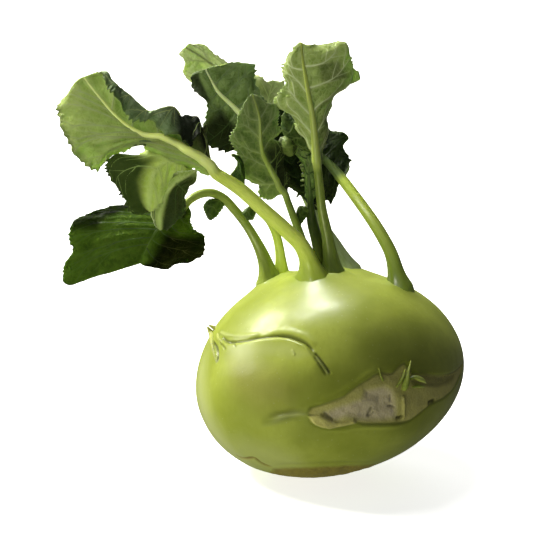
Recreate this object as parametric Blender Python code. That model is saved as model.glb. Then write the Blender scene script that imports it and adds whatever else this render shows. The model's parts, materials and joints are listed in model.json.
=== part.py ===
"""Kohlrabi: a round green bulb on a small flat base, with nine leaves, a dried stub and a side shoot.

Lengths are in millimetres here and become metres in each mesh. The origin is the centre of the flat base,
+Z is up, and +Y points away from the side with the scars. A leaf is a stalk (stem_*) and a blade
(blade_*), and some stalks carry a small leaflet (leaflet_*).
"""

import bmesh
import bpy
import numpy as np

MM = 0.001

# Bulb
BULB_WIDTH = 100.4
BULB_DEPTH = 97.4
BULB_WAIST = 37.2  # height of the widest ring
BULB_TOP = 39.0  # from the waist up to the crown
BULB_BOTTOM = 38.4  # from the waist down, before the base is cut flat at zero
BULB_CENTRE_X = 8.6
BULB_LEAN = 0.138  # sideways shift for each millimetre of height
BULB_SAG = 0.0025  # sideways shift back, for each square millimetre
BULB_SEGMENTS = 42
BULB_RINGS = 24

# Leaves
GAP = 0.3  # between neighbouring pieces
BLADE_HALF_THICKNESS = 0.45
STEM_BEVEL = 2  # a stalk has eight sides
STEPS_PER_STEM_POINT = 3
STEPS_PER_RIB_POINT = 2.5
COLUMNS = (-1.0, -0.65, -0.3, 0.0, 0.3, 0.65, 1.0)  # left margin, midrib, right margin
WELD = 0.001  # points nearer than this become one
TINY = 1e-9

# Each stem runs from inside the crown to its blade: (x, y, z, radius).
STEMS = {
    "left_front": (
        (2, -6, 68, 4.2), (1.5, -8, 76, 3.7), (0, -10, 83, 3.0), (-3, -13, 89.5, 2.8), (-8, -16, 95, 2.7),
        (-17, -20, 104, 2.5), (-24.5, -24, 111.5, 2.4), (-33.9, -29.35, 118.7, 2.1),
    ),
    "left_drooping": (
        (-13.5, 8, 64, 2.9), (-14.3, 8, 72, 2.8), (-16, 8, 79, 2.4), (-20.5, 7, 89, 1.8),
        (-27.5, 4, 99.5, 1.7), (-31.5, 2, 104, 1.7), (-36, 0, 106.3, 1.6), (-40, -1.5, 106, 1.6),
        (-44.7, -3.2, 103.5, 1.5),
    ),
    "left_thin": (
        (-9.5, 13, 64, 2.1), (-9.7, 12.5, 73, 2.0), (-10, 11, 79, 1.8), (-11.5, 9, 88, 1.6),
        (-14.3, 6, 94.5, 1.4), (-18.5, 2, 99.5, 1.3), (-22.5, -4, 105, 1.1), (-24.3, -8.4, 109.4, 1.0),
    ),
    "middle": (
        (0.5, 3, 66, 1.8), (0, 2, 76, 1.7), (-1, 0, 84, 1.6), (-3, -2, 91.5, 1.5), (-5, -3.5, 97, 1.4),
        (-6.8, -4, 102, 1.3), (-8.2, -4.1, 105.9, 1.2),
    ),
    "upright": (
        (10, -2, 66, 3.0), (9.3, -3, 76, 2.7), (8.7, -3, 81, 2.5), (7.2, -4, 91, 2.1),
        (5.2, -5.5, 101, 1.7), (4.2, -7.5, 109, 1.6), (3.35, -9.8, 117.1, 1.5),
    ),
    "right": (
        (34.5, -4, 60, 3.4), (34, -4, 71, 3.0), (32.8, -4, 77.5, 2.6), (31.2, -4, 83.5, 2.4),
        (27.2, -3, 91.3, 2.3), (22.6, -1, 98.2, 2.2), (18.4, 2, 103.7, 2.1), (13.6, 6.8, 109.6, 1.6),
    ),
    "back": (
        (13.5, 8, 66, 4.6), (12.8, 8, 76, 4.0), (10, 8.5, 84.5, 2.9), (6, 9, 91.5, 2.2),
        (1.5, 9, 99.5, 1.9), (-1.5, 9, 105.8, 1.8), (-7, 9.5, 113, 1.7), (-11, 10, 118, 1.6),
        (-17.7, 12, 127, 1.5),
    ),
    "rear": (
        (9.3, 15.5, 66, 1.6), (9, 15.8, 76, 1.5), (8.3, 16.3, 84, 1.4), (7, 17, 92, 1.3),
        (5.5, 18, 99, 1.3), (3.8, 19.5, 105, 1.3), (1.5, 21.5, 110.5, 1.2), (-1, 23.3, 115.5, 1.2),
        (-3.8, 24.9, 120.6, 1.1),
    ),
    "heart": (
        (4.2, 0.5, 68, 1.2), (4, 0, 78, 1.1), (2.8, -0.4, 88, 1.0), (1.5, -1, 96, 1.0),
        (1, -1.5, 103, 0.9),
    ),
}

# A blade is a midrib and two sides. Each row of a side is (place along the midrib, counted in midrib
# points), (point halfway out), (point on the margin). The right side is on the right when the upper face
# is towards the eye and the tip points up.
BLADES = {
    "left_front": {
        "rib": (
            (-34, -30, 119), (-39, -33, 124), (-43, -35, 127), (-47, -36, 130), (-53, -38, 133),
            (-59, -39, 134), (-64, -40, 137), (-68, -41, 141), (-72, -42, 146), (-78, -43, 153),
        ),
        "left": (
            (0.0, (-34.5, -29, 121), (-35, -28, 123)),
            (0.5, (-36.5, -29, 128), (-37, -31, 135)),
            (1.0, (-39, -31, 138), (-39, -38, 133)),
            (1.4, (-42, -33, 139), (-41, -40, 129.5)),
            (2.2, (-45, -36, 139.5), (-46, -41, 132)),
            (2.8, (-47, -38, 143), (-51, -43, 135)),
            (3.4, (-50, -40, 143), (-55, -45, 138)),
            (4.2, (-55, -42, 142), (-58, -47, 138)),
            (5.0, (-58, -43, 144), (-62, -48, 140)),
            (6.0, (-62, -44, 148), (-65, -49, 143)),
            (7.0, (-65, -45, 150), (-66, -49, 146)),
            (8.0, (-68, -45, 153), (-70, -48, 150.5)),
            (8.7, (-71, -45, 156), (-72, -47, 155)),
            (9.0, (-75, -44, 155), (-73, -45, 156)),
        ),
        "right": (
            (0.0, (-35, -30, 118), (-36, -30, 117.5)),
            (0.4, (-41, -34, 121), (-46, -32, 119.5)),
            (0.7, (-45, -37, 118), (-51, -33, 109)),
            (0.95, (-48, -38, 117), (-56, -35, 106)),
            (1.2, (-52, -40, 119), (-64, -34, 106)),
            (1.45, (-55, -41, 121.5), (-69, -34, 110)),
            (1.7, (-54, -40, 123), (-76, -34, 118)),
            (1.85, (-53, -39, 124.5), (-74, -34, 121)),
            (2.0, (-52, -38, 126), (-68, -35, 123)),
            (2.15, (-51, -38, 127), (-60, -37, 125)),
            (2.3, (-51, -38, 128), (-57, -37, 127.5)),
            (2.45, (-54, -39, 129), (-62, -37, 127)),
            (2.65, (-59, -40, 130), (-71, -36, 125)),
            (2.85, (-62, -40, 130.5), (-74, -36, 121)),
            (3.1, (-66, -41, 131), (-79, -36, 123)),
            (3.6, (-69, -42, 132.5), (-83, -37, 127)),
            (4.3, (-71, -42, 134), (-85, -37, 131)),
            (5.2, (-73, -43, 137), (-86, -38, 136)),
            (6.2, (-77, -43, 141), (-88, -39, 141)),
            (7.2, (-80, -43, 146), (-88, -40, 145)),
            (8.2, (-80, -43, 150), (-84, -41, 150)),
            (9.0, (-79.5, -43, 153), (-81, -43, 152.5)),
        ),
    },
    "left_drooping": {
        "rib": (
            (-45, -3.5, 102.7), (-48, -4, 99), (-52, -5, 96), (-55.5, -6, 93.5), (-58, -7, 90),
            (-60, -7, 86), (-62, -7, 81),
        ),
        "left": (
            (0.0, (-44.5, -3, 102), (-44, -2, 101)),
            (1.0, (-46, -2, 96.5), (-43, 2, 94.5)),
            (2.0, (-48, -3, 92.5), (-43, 5, 91)),
            (3.0, (-50, -4, 90), (-38.5, 8, 87)),
            (3.8, (-51, -4, 87), (-38, 8, 85)),
            (4.6, (-53, -5, 84), (-41, 7, 80.5)),
            (5.4, (-56, -6, 80.5), (-50, 3, 78)),
            (6.0, (-60, -7, 80), (-57, -5, 79.5)),
        ),
        "right": (
            (0.0, (-46, -3, 103), (-47, -2, 104)),
            (0.5, (-51, -2, 102), (-57, 0, 103)),
            (1.1, (-58, -1, 101), (-69, 1, 101)),
            (1.9, (-66, -2, 98), (-80, 0, 99)),
            (2.7, (-70, -4, 95.5), (-87, -1, 95.5)),
            (3.5, (-71, -5, 92), (-88.5, -2, 91)),
            (4.2, (-72, -6, 89), (-87.5, -3, 85)),
            (4.9, (-73, -6, 84.5), (-89.5, -3, 79.5)),
            (5.4, (-72, -6, 81.5), (-88.5, -3, 73.5)),
            (5.8, (-70, -6, 80), (-79, -4, 75.5)),
            (6.0, (-65, -6.5, 80), (-68, -6, 79)),
        ),
    },
    "left_thin": {
        "rib": ((-24.5, -9, 110), (-25, -10, 114), (-25.5, -11, 118), (-27.5, -11, 122)),
        "left": (
            (0.0, (-25, -9, 110.3), (-25.5, -9, 110.6)),
            (0.8, (-26.5, -9, 113.5), (-28.5, -8, 114.5)),
            (1.6, (-26, -10, 116.5), (-27, -9, 117.5)),
            (2.4, (-26.7, -10.5, 120), (-27.4, -10, 120.5)),
            (3.0, (-27.7, -11, 122.1), (-28, -11, 122)),
        ),
        "right": (
            (0.0, (-24, -9, 110), (-23.5, -9, 110)),
            (1.0, (-24, -9, 114), (-23, -8, 114.5)),
            (2.0, (-24, -9, 118.5), (-23, -9, 118)),
            (2.6, (-25, -9, 121), (-24, -10, 121)),
            (3.0, (-27.2, -11, 122.1), (-26.8, -11, 122.2)),
        ),
    },
    "middle": {
        "rib": (
            (-8.5, -4.2, 106.3), (-10.5, -5, 109.5), (-12.5, -6, 113.5), (-14.7, -7, 118),
            (-16.5, -9, 122), (-17.2, -11, 126), (-17.5, -12, 131), (-17.8, -13, 136), (-19, -13, 140.5),
            (-20.3, -13, 144),
        ),
        "left": (
            (0.0, (-8, -3, 106.6), (-7.5, -2, 107)),
            (1.0, (-9, -4, 110.5), (-7, -1, 111)),
            (2.0, (-10.5, -4, 115), (-8.5, -1, 116.5)),
            (3.0, (-12, -5, 119.5), (-9.5, -1, 121)),
            (3.7, (-12.5, -6, 123), (-7, -2, 124.5)),
            (4.1, (-13, -7, 125.5), (-6.5, -3, 127.5)),
            (4.7, (-15, -9, 126), (-13, -7, 127.5)),
            (5.4, (-14.8, -10, 128.5), (-11.8, -8, 129.5)),
            (6.2, (-14.7, -11, 132.5), (-11.8, -9, 134)),
            (7.0, (-15, -12, 137), (-12, -10, 138.5)),
            (7.8, (-15.8, -12.5, 140.5), (-13, -11, 141)),
            (8.5, (-18, -13, 142.5), (-16.5, -12, 142.5)),
            (9.0, (-19.8, -13, 144), (-19.4, -13, 144)),
        ),
        "right": (
            (0.0, (-9.5, -4, 106.5), (-10.5, -3, 106.3)),
            (0.5, (-12, -4, 106.5), (-14.5, -1, 104)),
            (1.0, (-14, -4, 108), (-17.5, -2, 106)),
            (1.6, (-15, -5, 110.5), (-16.5, -2, 110)),
            (2.3, (-17.5, -5, 113), (-21, -3, 112.5)),
            (3.0, (-19.5, -6, 116.5), (-23.5, -4, 115)),
            (3.6, (-20.5, -7, 120), (-24, -5, 119)),
            (4.3, (-22, -8, 124), (-26.5, -5, 124)),
            (5.0, (-22.5, -9, 127), (-28, -6, 127)),
            (5.8, (-22, -10, 130.5), (-26, -7, 131)),
            (6.6, (-21.5, -11, 134), (-25, -9, 134)),
            (7.4, (-21.5, -12, 138), (-24, -10, 138.5)),
            (8.2, (-21.3, -13, 141.5), (-22.5, -12, 142)),
            (9.0, (-20.8, -13, 144), (-21.2, -13, 143.5)),
        ),
    },
    "upright": {
        "rib": (
            (3.3, -10, 117.5), (2.5, -11, 124), (1.9, -12, 130), (1.2, -13, 137), (0, -14, 144),
            (-1.2, -14, 151), (-2.2, -13, 157), (-3, -12, 163),
        ),
        "left": (
            (0.0, (4.5, -9, 118), (5.5, -8, 119)),
            (0.8, (5, -9, 124), (7, -5, 126)),
            (1.6, (5, -10, 129), (7.5, -5, 131)),
            (2.3, (4.5, -11, 134), (6.5, -5, 136)),
            (2.8, (5, -12, 138), (9, -5, 139)),
            (3.3, (6, -12, 141.5), (12, -5, 142.5)),
            (3.8, (8, -12, 144.5), (16, -4, 145)),
            (4.2, (9, -12, 147), (19, -3, 148)),
            (4.6, (8.5, -12, 149.5), (18.5, -4, 151)),
            (5.0, (7.5, -13, 152), (15.5, -6, 153.5)),
            (5.5, (6.5, -13, 155), (13.5, -7, 156.5)),
            (6.1, (5, -13, 158.5), (12, -8, 160.5)),
            (6.6, (2, -12.5, 160.5), (6, -9, 161.2)),
            (7.0, (-2.4, -12, 163), (-2, -12, 162.8)),
        ),
        "right": (
            (0.0, (2.2, -9, 118), (1.2, -9, 119)),
            (0.8, (0.5, -10, 125), (-0.5, -8, 127)),
            (1.5, (-0.5, -11, 129.5), (-3, -7, 131)),
            (2.2, (-1.5, -12, 133), (-5, -8, 136)),
            (2.8, (-3, -13, 137), (-7, -9, 139.5)),
            (3.3, (-5.5, -13, 140.5), (-12.5, -9, 141)),
            (3.9, (-5, -13, 144.5), (-9.8, -10, 144.5)),
            (4.5, (-5, -13, 148.5), (-8.3, -11, 147.5)),
            (5.2, (-5.8, -13, 152), (-10, -11, 151)),
            (5.8, (-6, -13, 155), (-11, -11, 154.5)),
            (6.3, (-5.5, -13, 158), (-9, -11, 157.5)),
            (6.7, (-4.3, -13, 160.5), (-6, -12, 160.5)),
            (7.0, (-3.4, -12, 163), (-3.8, -12, 162.5)),
        ),
    },
    "right": {
        "rib": (
            (13.3, 7.2, 109.9), (9.5, 11, 114), (5, 14, 118), (0.5, 16, 121.5), (-3, 17, 125),
            (-6, 18, 128), (-8.5, 19, 132),
        ),
        "left": (
            (0.0, (12.5, 8, 109.5), (11.5, 8.5, 108.5)),
            (0.7, (10, 10, 107), (10.5, 10, 102.5)),
            (1.4, (7, 12, 109), (7.5, 12, 101.5)),
            (2.0, (4, 14, 112), (4.5, 14, 107)),
            (2.8, (0, 16, 116), (0, 16, 112)),
            (3.6, (-3.5, 17, 119.5), (-4, 17, 116)),
            (4.4, (-6, 18, 123), (-7.5, 17.5, 120)),
            (5.2, (-8, 18, 127), (-10, 18, 125)),
            (6.0, (-9, 19, 131.5), (-9.5, 19, 131)),
        ),
        "right": (
            (0.0, (14, 8, 111), (15, 8.5, 112.5)),
            (0.6, (14.5, 11, 113), (16.5, 12, 114.5)),
            (1.2, (12.5, 13, 116.5), (16.5, 15, 116.5)),
            (1.8, (10, 14, 119.5), (14, 16, 119.5)),
            (2.4, (9, 15, 122), (13.5, 16, 122)),
            (2.9, (8.5, 16, 124), (15.8, 17, 124.3)),
            (3.5, (6, 17, 126), (12.5, 18, 126.5)),
            (4.2, (2.5, 18, 128), (8.5, 19, 127.5)),
            (5.0, (-2, 19, 130), (3, 20, 130.5)),
            (5.6, (-5.5, 19.5, 131.5), (-2, 20, 132.5)),
            (6.0, (-8, 19, 132.5), (-7.5, 19, 133)),
        ),
    },
    "back": {
        "rib": (
            (-18, 12, 127.3), (-24.5, 13, 133.5), (-29, 13, 138), (-33, 12, 142), (-35.5, 12, 146),
            (-38, 12, 151),
        ),
        "left": (
            (0.0, (-19.3, 12, 126.5), (-20.5, 12, 126)),
            (0.6, (-24, 12, 127), (-26, 13, 121)),
            (1.1, (-27, 12, 128.5), (-31, 14, 121)),
            (1.6, (-30, 12, 129.5), (-35.5, 14, 122.5)),
            (2.1, (-32, 12, 132), (-38, 13, 127)),
            (2.6, (-34, 12, 135.5), (-39, 12, 132)),
            (3.1, (-35.5, 12, 138.5), (-38.5, 11, 138)),
            (3.7, (-37, 11.5, 142), (-40.5, 12, 141)),
            (4.3, (-38.5, 11.5, 146), (-43, 14, 144)),
            (4.7, (-39.5, 12, 148.5), (-43, 14, 147.5)),
            (5.0, (-39.5, 12, 150.5), (-41.5, 13, 150)),
        ),
        "right": (
            (0.0, (-17, 12.5, 128.5), (-16, 13, 129.5)),
            (0.7, (-17.5, 13, 133), (-14.5, 15, 134)),
            (1.4, (-19.5, 14, 138), (-16, 17, 139)),
            (2.1, (-22, 14, 142), (-18, 18, 143)),
            (2.8, (-25, 14, 146), (-19.5, 18, 148)),
            (3.5, (-28, 14, 149), (-20.5, 17, 152.5)),
            (4.2, (-31, 14, 151), (-25, 16, 153.5)),
            (5.0, (-36.5, 13, 151.5), (-35, 13, 152)),
        ),
    },
    "rear": {
        "rib": (
            (-4, 25, 121), (-10, 26, 127), (-18, 27, 136), (-28, 27, 145), (-38, 26, 152.5),
            (-46, 24, 158),
        ),
        "left": (
            (0.0, (-3.4, 25, 122), (-3, 25, 123)),
            (0.7, (-7, 26, 129), (-4, 26, 133)),
            (1.3, (-11, 27, 134), (-7, 27, 139)),
            (1.8, (-14, 28, 138), (-9.5, 28, 144)),
            (2.2, (-17, 28, 142), (-14, 29, 145.5)),
            (2.7, (-21, 28, 145), (-19, 30, 146)),
            (3.3, (-28, 28, 149), (-27, 30, 150)),
            (3.9, (-36, 27, 154), (-35, 28, 155.5)),
            (4.5, (-41, 26, 157), (-40, 27, 159)),
            (5.0, (-45.5, 24, 158.7), (-44.5, 24, 159.3)),
        ),
        "right": (
            (0.0, (-5, 25, 120.6), (-6, 25, 120.2)),
            (1.0, (-13, 26, 125), (-16, 25, 123)),
            (2.0, (-22, 26, 133), (-26, 25, 130)),
            (2.8, (-30, 26, 140), (-34, 25, 138)),
            (3.4, (-36, 25, 146), (-42, 24, 144)),
            (3.9, (-41, 25, 149.5), (-47, 23, 148.5)),
            (4.4, (-44, 24, 153.5), (-46.5, 23, 152.5)),
            (4.8, (-46, 24, 156), (-48.2, 23, 155.5)),
            (5.0, (-46.7, 24, 157.6), (-47.3, 24, 157.2)),
        ),
    },
    "heart": {
        "rib": ((1, -1.5, 103.4), (0.5, -2, 110), (0.2, -2.5, 117), (-1.5, -3, 123), (-3.2, -3, 127)),
        "left": (
            (0.0, (0, -1, 104), (-1, 0, 105)),
            (0.7, (-1, -1, 109), (-2.3, 1, 110)),
            (1.3, (-1, -1.5, 112), (-2, 0, 113.5)),
            (1.9, (-1.5, -2, 117), (-3, 0, 117)),
            (2.3, (-3, -2, 119.5), (-5.3, 0, 120)),
            (2.8, (-2.8, -2.5, 121.5), (-4.3, -1, 122.5)),
            (3.4, (-3, -3, 124.5), (-3.8, -2, 125)),
            (4.0, (-3.4, -3, 127), (-3.6, -3, 127)),
        ),
        "right": (
            (0.0, (2, -1, 104), (3, 0, 105)),
            (1.0, (3, -1, 110), (5, 2, 111)),
            (2.0, (2.5, -2, 117), (4.5, 1, 118.5)),
            (3.0, (0.5, -2.5, 123), (2, -1, 124)),
            (4.0, (-3, -3, 127), (-2.8, -3, 127)),
        ),
    },
}

# Small leaflets on the stalks: the same rows as a blade.
LEAFLETS = {
    "left_front": {
        "rib": (
            (-36.2, -28.6, 116.4), (-43, -27, 114.5), (-46, -26, 110), (-47, -26, 105), (-47.5, -26, 101),
        ),
        "left": (
            (0.0, (-35.7, -28.2, 116), (-35.3, -27.8, 115.6)),
            (1.0, (-42.5, -26, 113), (-42, -25, 112)),
            (2.0, (-44.5, -25, 110), (-43, -24, 109)),
            (3.0, (-45, -25, 105), (-43, -24, 104)),
            (4.0, (-47, -26, 101), (-46, -26, 101)),
        ),
        "right": (
            (0.0, (-36.6, -28.7, 116.6), (-37, -28.7, 116.8)),
            (1.0, (-44, -28, 116), (-45.5, -28, 117)),
            (2.0, (-48, -28, 111), (-49.5, -29, 112)),
            (3.0, (-49, -28, 105.5), (-51, -29, 106)),
            (4.0, (-48, -27, 101), (-49, -28, 101.5)),
        ),
    },
    "left_drooping": {
        "rib": ((-32, 0.3, 102.5), (-34, -1, 101), (-35.5, -1.5, 97.5)),
        "left": (
            (0.0, (-31.5, 0.2, 102.2), (-31, 0.1, 101.9)),
            (1.0, (-33, -0.5, 100), (-32, 0, 99.3)),
            (2.0, (-35.3, -1.5, 97.5), (-35, -1.5, 97.5)),
        ),
        "right": (
            (0.0, (-32.5, 0.1, 102.8), (-33, 0, 103)),
            (1.0, (-35, -1.5, 101.3), (-36, -2, 102)),
            (2.0, (-35.7, -1.5, 97.7), (-36, -1.5, 97.8)),
        ),
    },
    "left_thin": {
        "rib": ((-20.4, -0.7, 99.7), (-21.3, -1.1, 99), (-22.5, -1.1, 98.3)),
        "left": (
            (0.0, (-20.1, -0.6, 99.3), (-19.8, -0.6, 98.9)),
            (1.0, (-20.5, -0.7, 98.2), (-19.8, -0.5, 97.5)),
            (2.0, (-22, -1, 97.8), (-21.5, -1, 97.4)),
        ),
        "right": (
            (0.0, (-20.8, -0.9, 100), (-21.1, -1.3, 100.3)),
            (1.0, (-22, -1.5, 99.8), (-22.6, -2, 100.6)),
            (2.0, (-22.8, -1, 98.6), (-23.2, -1, 99)),
        ),
    },
    "middle": {
        "rib": ((-2.4, -2.2, 95.5), (-2.3, -2.6, 98.5), (-2.2, -3, 101.5)),
        "left": (
            (0.0, (-2.6, -2.2, 95.8), (-2.8, -2.2, 96.2)),
            (1.0, (-3.2, -2.5, 98.5), (-4, -2.5, 99)),
            (2.0, (-2.5, -3, 101.6), (-2.9, -3, 101.8)),
        ),
        "right": (
            (0.0, (-2.2, -2.2, 95.3), (-1.9, -2.2, 95)),
            (1.0, (-1.3, -2, 97.5), (-0.3, -2, 97)),
            (2.0, (-1.8, -3, 101.5), (-1.5, -3, 101.6)),
        ),
    },
}

# The dried stub at the left scar: a thin pointed flap that follows the bulb, in rows of
# (lower edge, upper edge).
STUB_EDGES = (
    ((-33.6, -20.5, 44.5), (-31.5, -22, 47)),
    ((-35.2, -17.5, 48), (-32.5, -18.5, 51.5)),
    ((-37, -12.5, 51), (-34.6, -13.8, 54.3)),
    ((-39, -7.5, 53.8), (-37.2, -8.5, 56)),
    ((-40.3, -4.8, 56), (-39.8, -4.8, 56.8)),
)
STUB_THICKNESS = 0.8

# The side shoot at the right scar: short spikes, each (points, radii).
SHOOT_BASE = (34.8, -42.8, 43.5)
SHOOT_BASE_RADIUS = 2.6
SHOOT_SEGMENTS = 12
SHOOT_RINGS = 8
SHOOT_SPIKES = (
    (((34.8, -42.6, 43.5), (35.4, -42.2, 47.5), (36.2, -41.5, 52)), (1.2, 0.8, 0.25)),
    (((35.5, -42.5, 44), (38.5, -42.0, 46), (42, -41, 44.5)), (1.0, 1.1, 0.4)),
    (((34, -42.9, 43.5), (33.3, -43.4, 46), (33.6, -43.6, 48.2)), (0.9, 0.5, 0.2)),
)

COLOURS = {  # base colour, roughness
    "bulb": ((0.42, 0.48, 0.10), 0.4),
    "stem": ((0.38, 0.52, 0.08), 0.45),
    "blade": ((0.11, 0.20, 0.04), 0.6),
    "stub": ((0.35, 0.33, 0.12), 0.7),
    "shoot": ((0.42, 0.50, 0.10), 0.5),
}


def clear_scene():
    """Removes whatever the file holds at the start."""
    for item in list(bpy.data.objects):
        bpy.data.objects.remove(item, do_unlink=True)


def material(name):
    """The plain Principled material of one kind of piece."""
    if name in bpy.data.materials:
        return bpy.data.materials[name]
    colour, roughness = COLOURS[name]
    made = bpy.data.materials.new(name)
    made.use_nodes = True
    shader = made.node_tree.nodes["Principled BSDF"]
    shader.inputs["Base Color"].default_value = (*colour, 1.0)
    shader.inputs["Roughness"].default_value = roughness
    shader.inputs["Metallic"].default_value = 0.0
    return made


def add_object(name, points_mm, faces, material_name):
    """A smooth mesh object from points in millimetres and faces that already face out."""
    mesh = bpy.data.meshes.new(name)
    mesh.from_pydata([tuple(np.asarray(point, float) * MM) for point in points_mm], [], faces)
    mesh.shade_smooth()
    mesh.materials.append(material(material_name))
    made = bpy.data.objects.new(name, mesh)
    bpy.context.scene.collection.objects.link(made)
    return made


def smooth_curve(places, values, at):
    """A cubic through values at uneven places, read at the places in at."""
    places = np.asarray(places, float)
    values = np.asarray(values, float)
    steps = np.diff(places)[:, None]
    slopes = np.diff(values, axis=0) / steps
    tangents = np.vstack([slopes[:1], slopes, slopes[-1:]])
    weights = np.vstack([steps[:1], steps, steps[-1:]])
    tangents = (tangents[:-1] * weights[1:] + tangents[1:] * weights[:-1]) / (weights[:-1] + weights[1:])
    cell = np.clip(np.searchsorted(places, at, side="right") - 1, 0, len(places) - 2)
    step = steps[cell]
    part = ((np.asarray(at) - places[cell]) / step[:, 0])[:, None]
    rest = 1.0 - part
    return (
        values[cell] * rest**2 * (1 + 2 * part)
        + values[cell + 1] * part**2 * (1 + 2 * rest)
        + tangents[cell] * step * part * rest**2
        - tangents[cell + 1] * step * part**2 * rest
    )


def bulb_point(direction, clearance=0.0):
    """The bulb's surface in a direction from its centre, grown by a clearance."""
    height = (BULB_TOP if direction[2] > 0 else BULB_BOTTOM) + clearance
    rise = direction[2] * height
    lean = BULB_LEAN * rise - BULB_SAG * rise**2
    return (
        BULB_CENTRE_X + direction[0] * (BULB_WIDTH / 2 + clearance) + lean,
        direction[1] * (BULB_DEPTH / 2 + clearance),
        max(BULB_WAIST + rise, 0.0),
    )


def make_bulb(name, clearance=0.0):
    """The bulb: a leaning, slightly flattened ball whose underside is cut flat."""
    ball = bmesh.new()
    bmesh.ops.create_uvsphere(ball, u_segments=BULB_SEGMENTS, v_segments=BULB_RINGS, radius=1.0)
    points = [bulb_point(vertex.co, clearance) for vertex in ball.verts]
    faces = [[vertex.index for vertex in face.verts] for face in ball.faces]
    ball.free()
    return add_object(name, points, faces, "bulb")


def make_tube(name, route, material_name):
    """A round tube with closed ends along (x, y, z, radius) points, as a mesh object."""
    route = np.asarray(route, float)
    places = np.arange(len(route))
    last = len(route) - 1
    fine = smooth_curve(places, route, np.linspace(0, last, STEPS_PER_STEM_POINT * last + 1))
    curve = bpy.data.curves.new(name, "CURVE")
    curve.dimensions = "3D"
    curve.bevel_depth = MM
    curve.bevel_resolution = STEM_BEVEL
    curve.use_fill_caps = True
    spline = curve.splines.new("POLY")
    spline.points.add(len(fine) - 1)
    for point, (x, y, z, radius) in zip(spline.points, fine):
        point.co = (x * MM, y * MM, z * MM, 1.0)
        point.radius = radius
    guide = bpy.data.objects.new(name + "_guide", curve)
    bpy.context.scene.collection.objects.link(guide)
    graph = bpy.context.evaluated_depsgraph_get()
    mesh = bpy.data.meshes.new_from_object(guide.evaluated_get(graph))
    bpy.data.objects.remove(guide, do_unlink=True)
    welded = bmesh.new()
    welded.from_mesh(mesh)
    bmesh.ops.remove_doubles(welded, verts=welded.verts, dist=WELD * MM)
    bmesh.ops.recalc_face_normals(welded, faces=welded.faces)
    welded.to_mesh(mesh)
    welded.free()
    mesh.name = name
    mesh.shade_smooth()
    mesh.materials.clear()
    mesh.materials.append(material(material_name))
    made = bpy.data.objects.new(name, mesh)
    bpy.context.scene.collection.objects.link(made)
    return made


def cut(piece, cutter):
    """Takes the cutter's shape out of a piece."""
    boolean = piece.modifiers.new("clear_of_" + cutter.name, "BOOLEAN")
    boolean.operation = "DIFFERENCE"
    boolean.solver = "EXACT"
    boolean.object = cutter


def blade_surface(shape):
    """The middle surface of a blade, as an array of rows along the midrib by columns across it."""
    rib = np.asarray(shape["rib"], float)
    last = len(rib) - 1
    at = np.linspace(0, last, int(STEPS_PER_RIB_POINT * last) + 1)
    spine = smooth_curve(np.arange(len(rib)), rib, at)
    sides = {}
    for side in ("left", "right"):
        places, halfway, margin = zip(*shape[side])
        sides[side] = (smooth_curve(places, halfway, at), smooth_curve(places, margin, at))
    columns = []
    for column in COLUMNS:
        halfway, margin = sides["left" if column < 0 else "right"]
        out = abs(column)
        inner = spine * (1 - out) * (1 - 2 * out) + halfway * 4 * out * (1 - out)
        columns.append(inner + margin * out * (2 * out - 1))
    return np.stack(columns, axis=1)


def make_blade(name, shape, rib_radius):
    """A leaf blade: a thin closed sheet over its rows, thicker along the midrib."""
    middle = blade_surface(shape)
    along = np.gradient(middle, axis=0)
    across = np.gradient(middle, axis=1)
    normal = np.cross(across, along)
    normal /= np.linalg.norm(normal, axis=2, keepdims=True) + TINY
    rows, columns = middle.shape[:2]
    half = np.full((rows, columns, 1), BLADE_HALF_THICKNESS)
    half[:, COLUMNS.index(0.0), 0] = np.linspace(rib_radius, BLADE_HALF_THICKNESS, rows)
    upper = (middle + normal * BLADE_HALF_THICKNESS).reshape(-1, 3)
    lower = (middle - normal * half).reshape(-1, 3)
    count = rows * columns
    faces = []
    for row in range(rows - 1):
        for column in range(columns - 1):
            a = row * columns + column
            corners = (a, a + 1, a + columns + 1, a + columns)
            faces.append(corners)
            faces.append(tuple(count + corner for corner in reversed(corners)))
    rim = list(range(columns))
    rim += [row * columns + columns - 1 for row in range(1, rows)]
    rim += [(rows - 1) * columns + column for column in range(columns - 2, -1, -1)]
    rim += [row * columns for row in range(rows - 2, 0, -1)]
    for first, second in zip(rim, rim[1:] + rim[:1]):
        faces.append((second, first, count + first, count + second))
    return add_object(name, np.vstack([upper, lower]), faces, "blade")


def make_stub():
    """The dried leaf stub: a thin pointed flap standing off the bulb's left side."""
    points = []
    for lower, upper in STUB_EDGES:
        lower = np.array(lower)
        upper = np.array(upper)
        out = np.array([lower[0] - BULB_CENTRE_X, lower[1], 0.0])
        out *= STUB_THICKNESS / np.linalg.norm(out)
        points += [lower, upper, upper + out, lower + out]
    faces = [(0, 1, 2, 3), tuple(len(points) - 4 + corner for corner in (3, 2, 1, 0))]
    for ring in range(len(STUB_EDGES) - 1):
        start = 4 * ring
        for side in range(4):
            following = (side + 1) % 4
            faces.append((start + side, start + 4 + side, start + 4 + following, start + following))
    return add_object("stub_left", points, faces, "stub")


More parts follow.
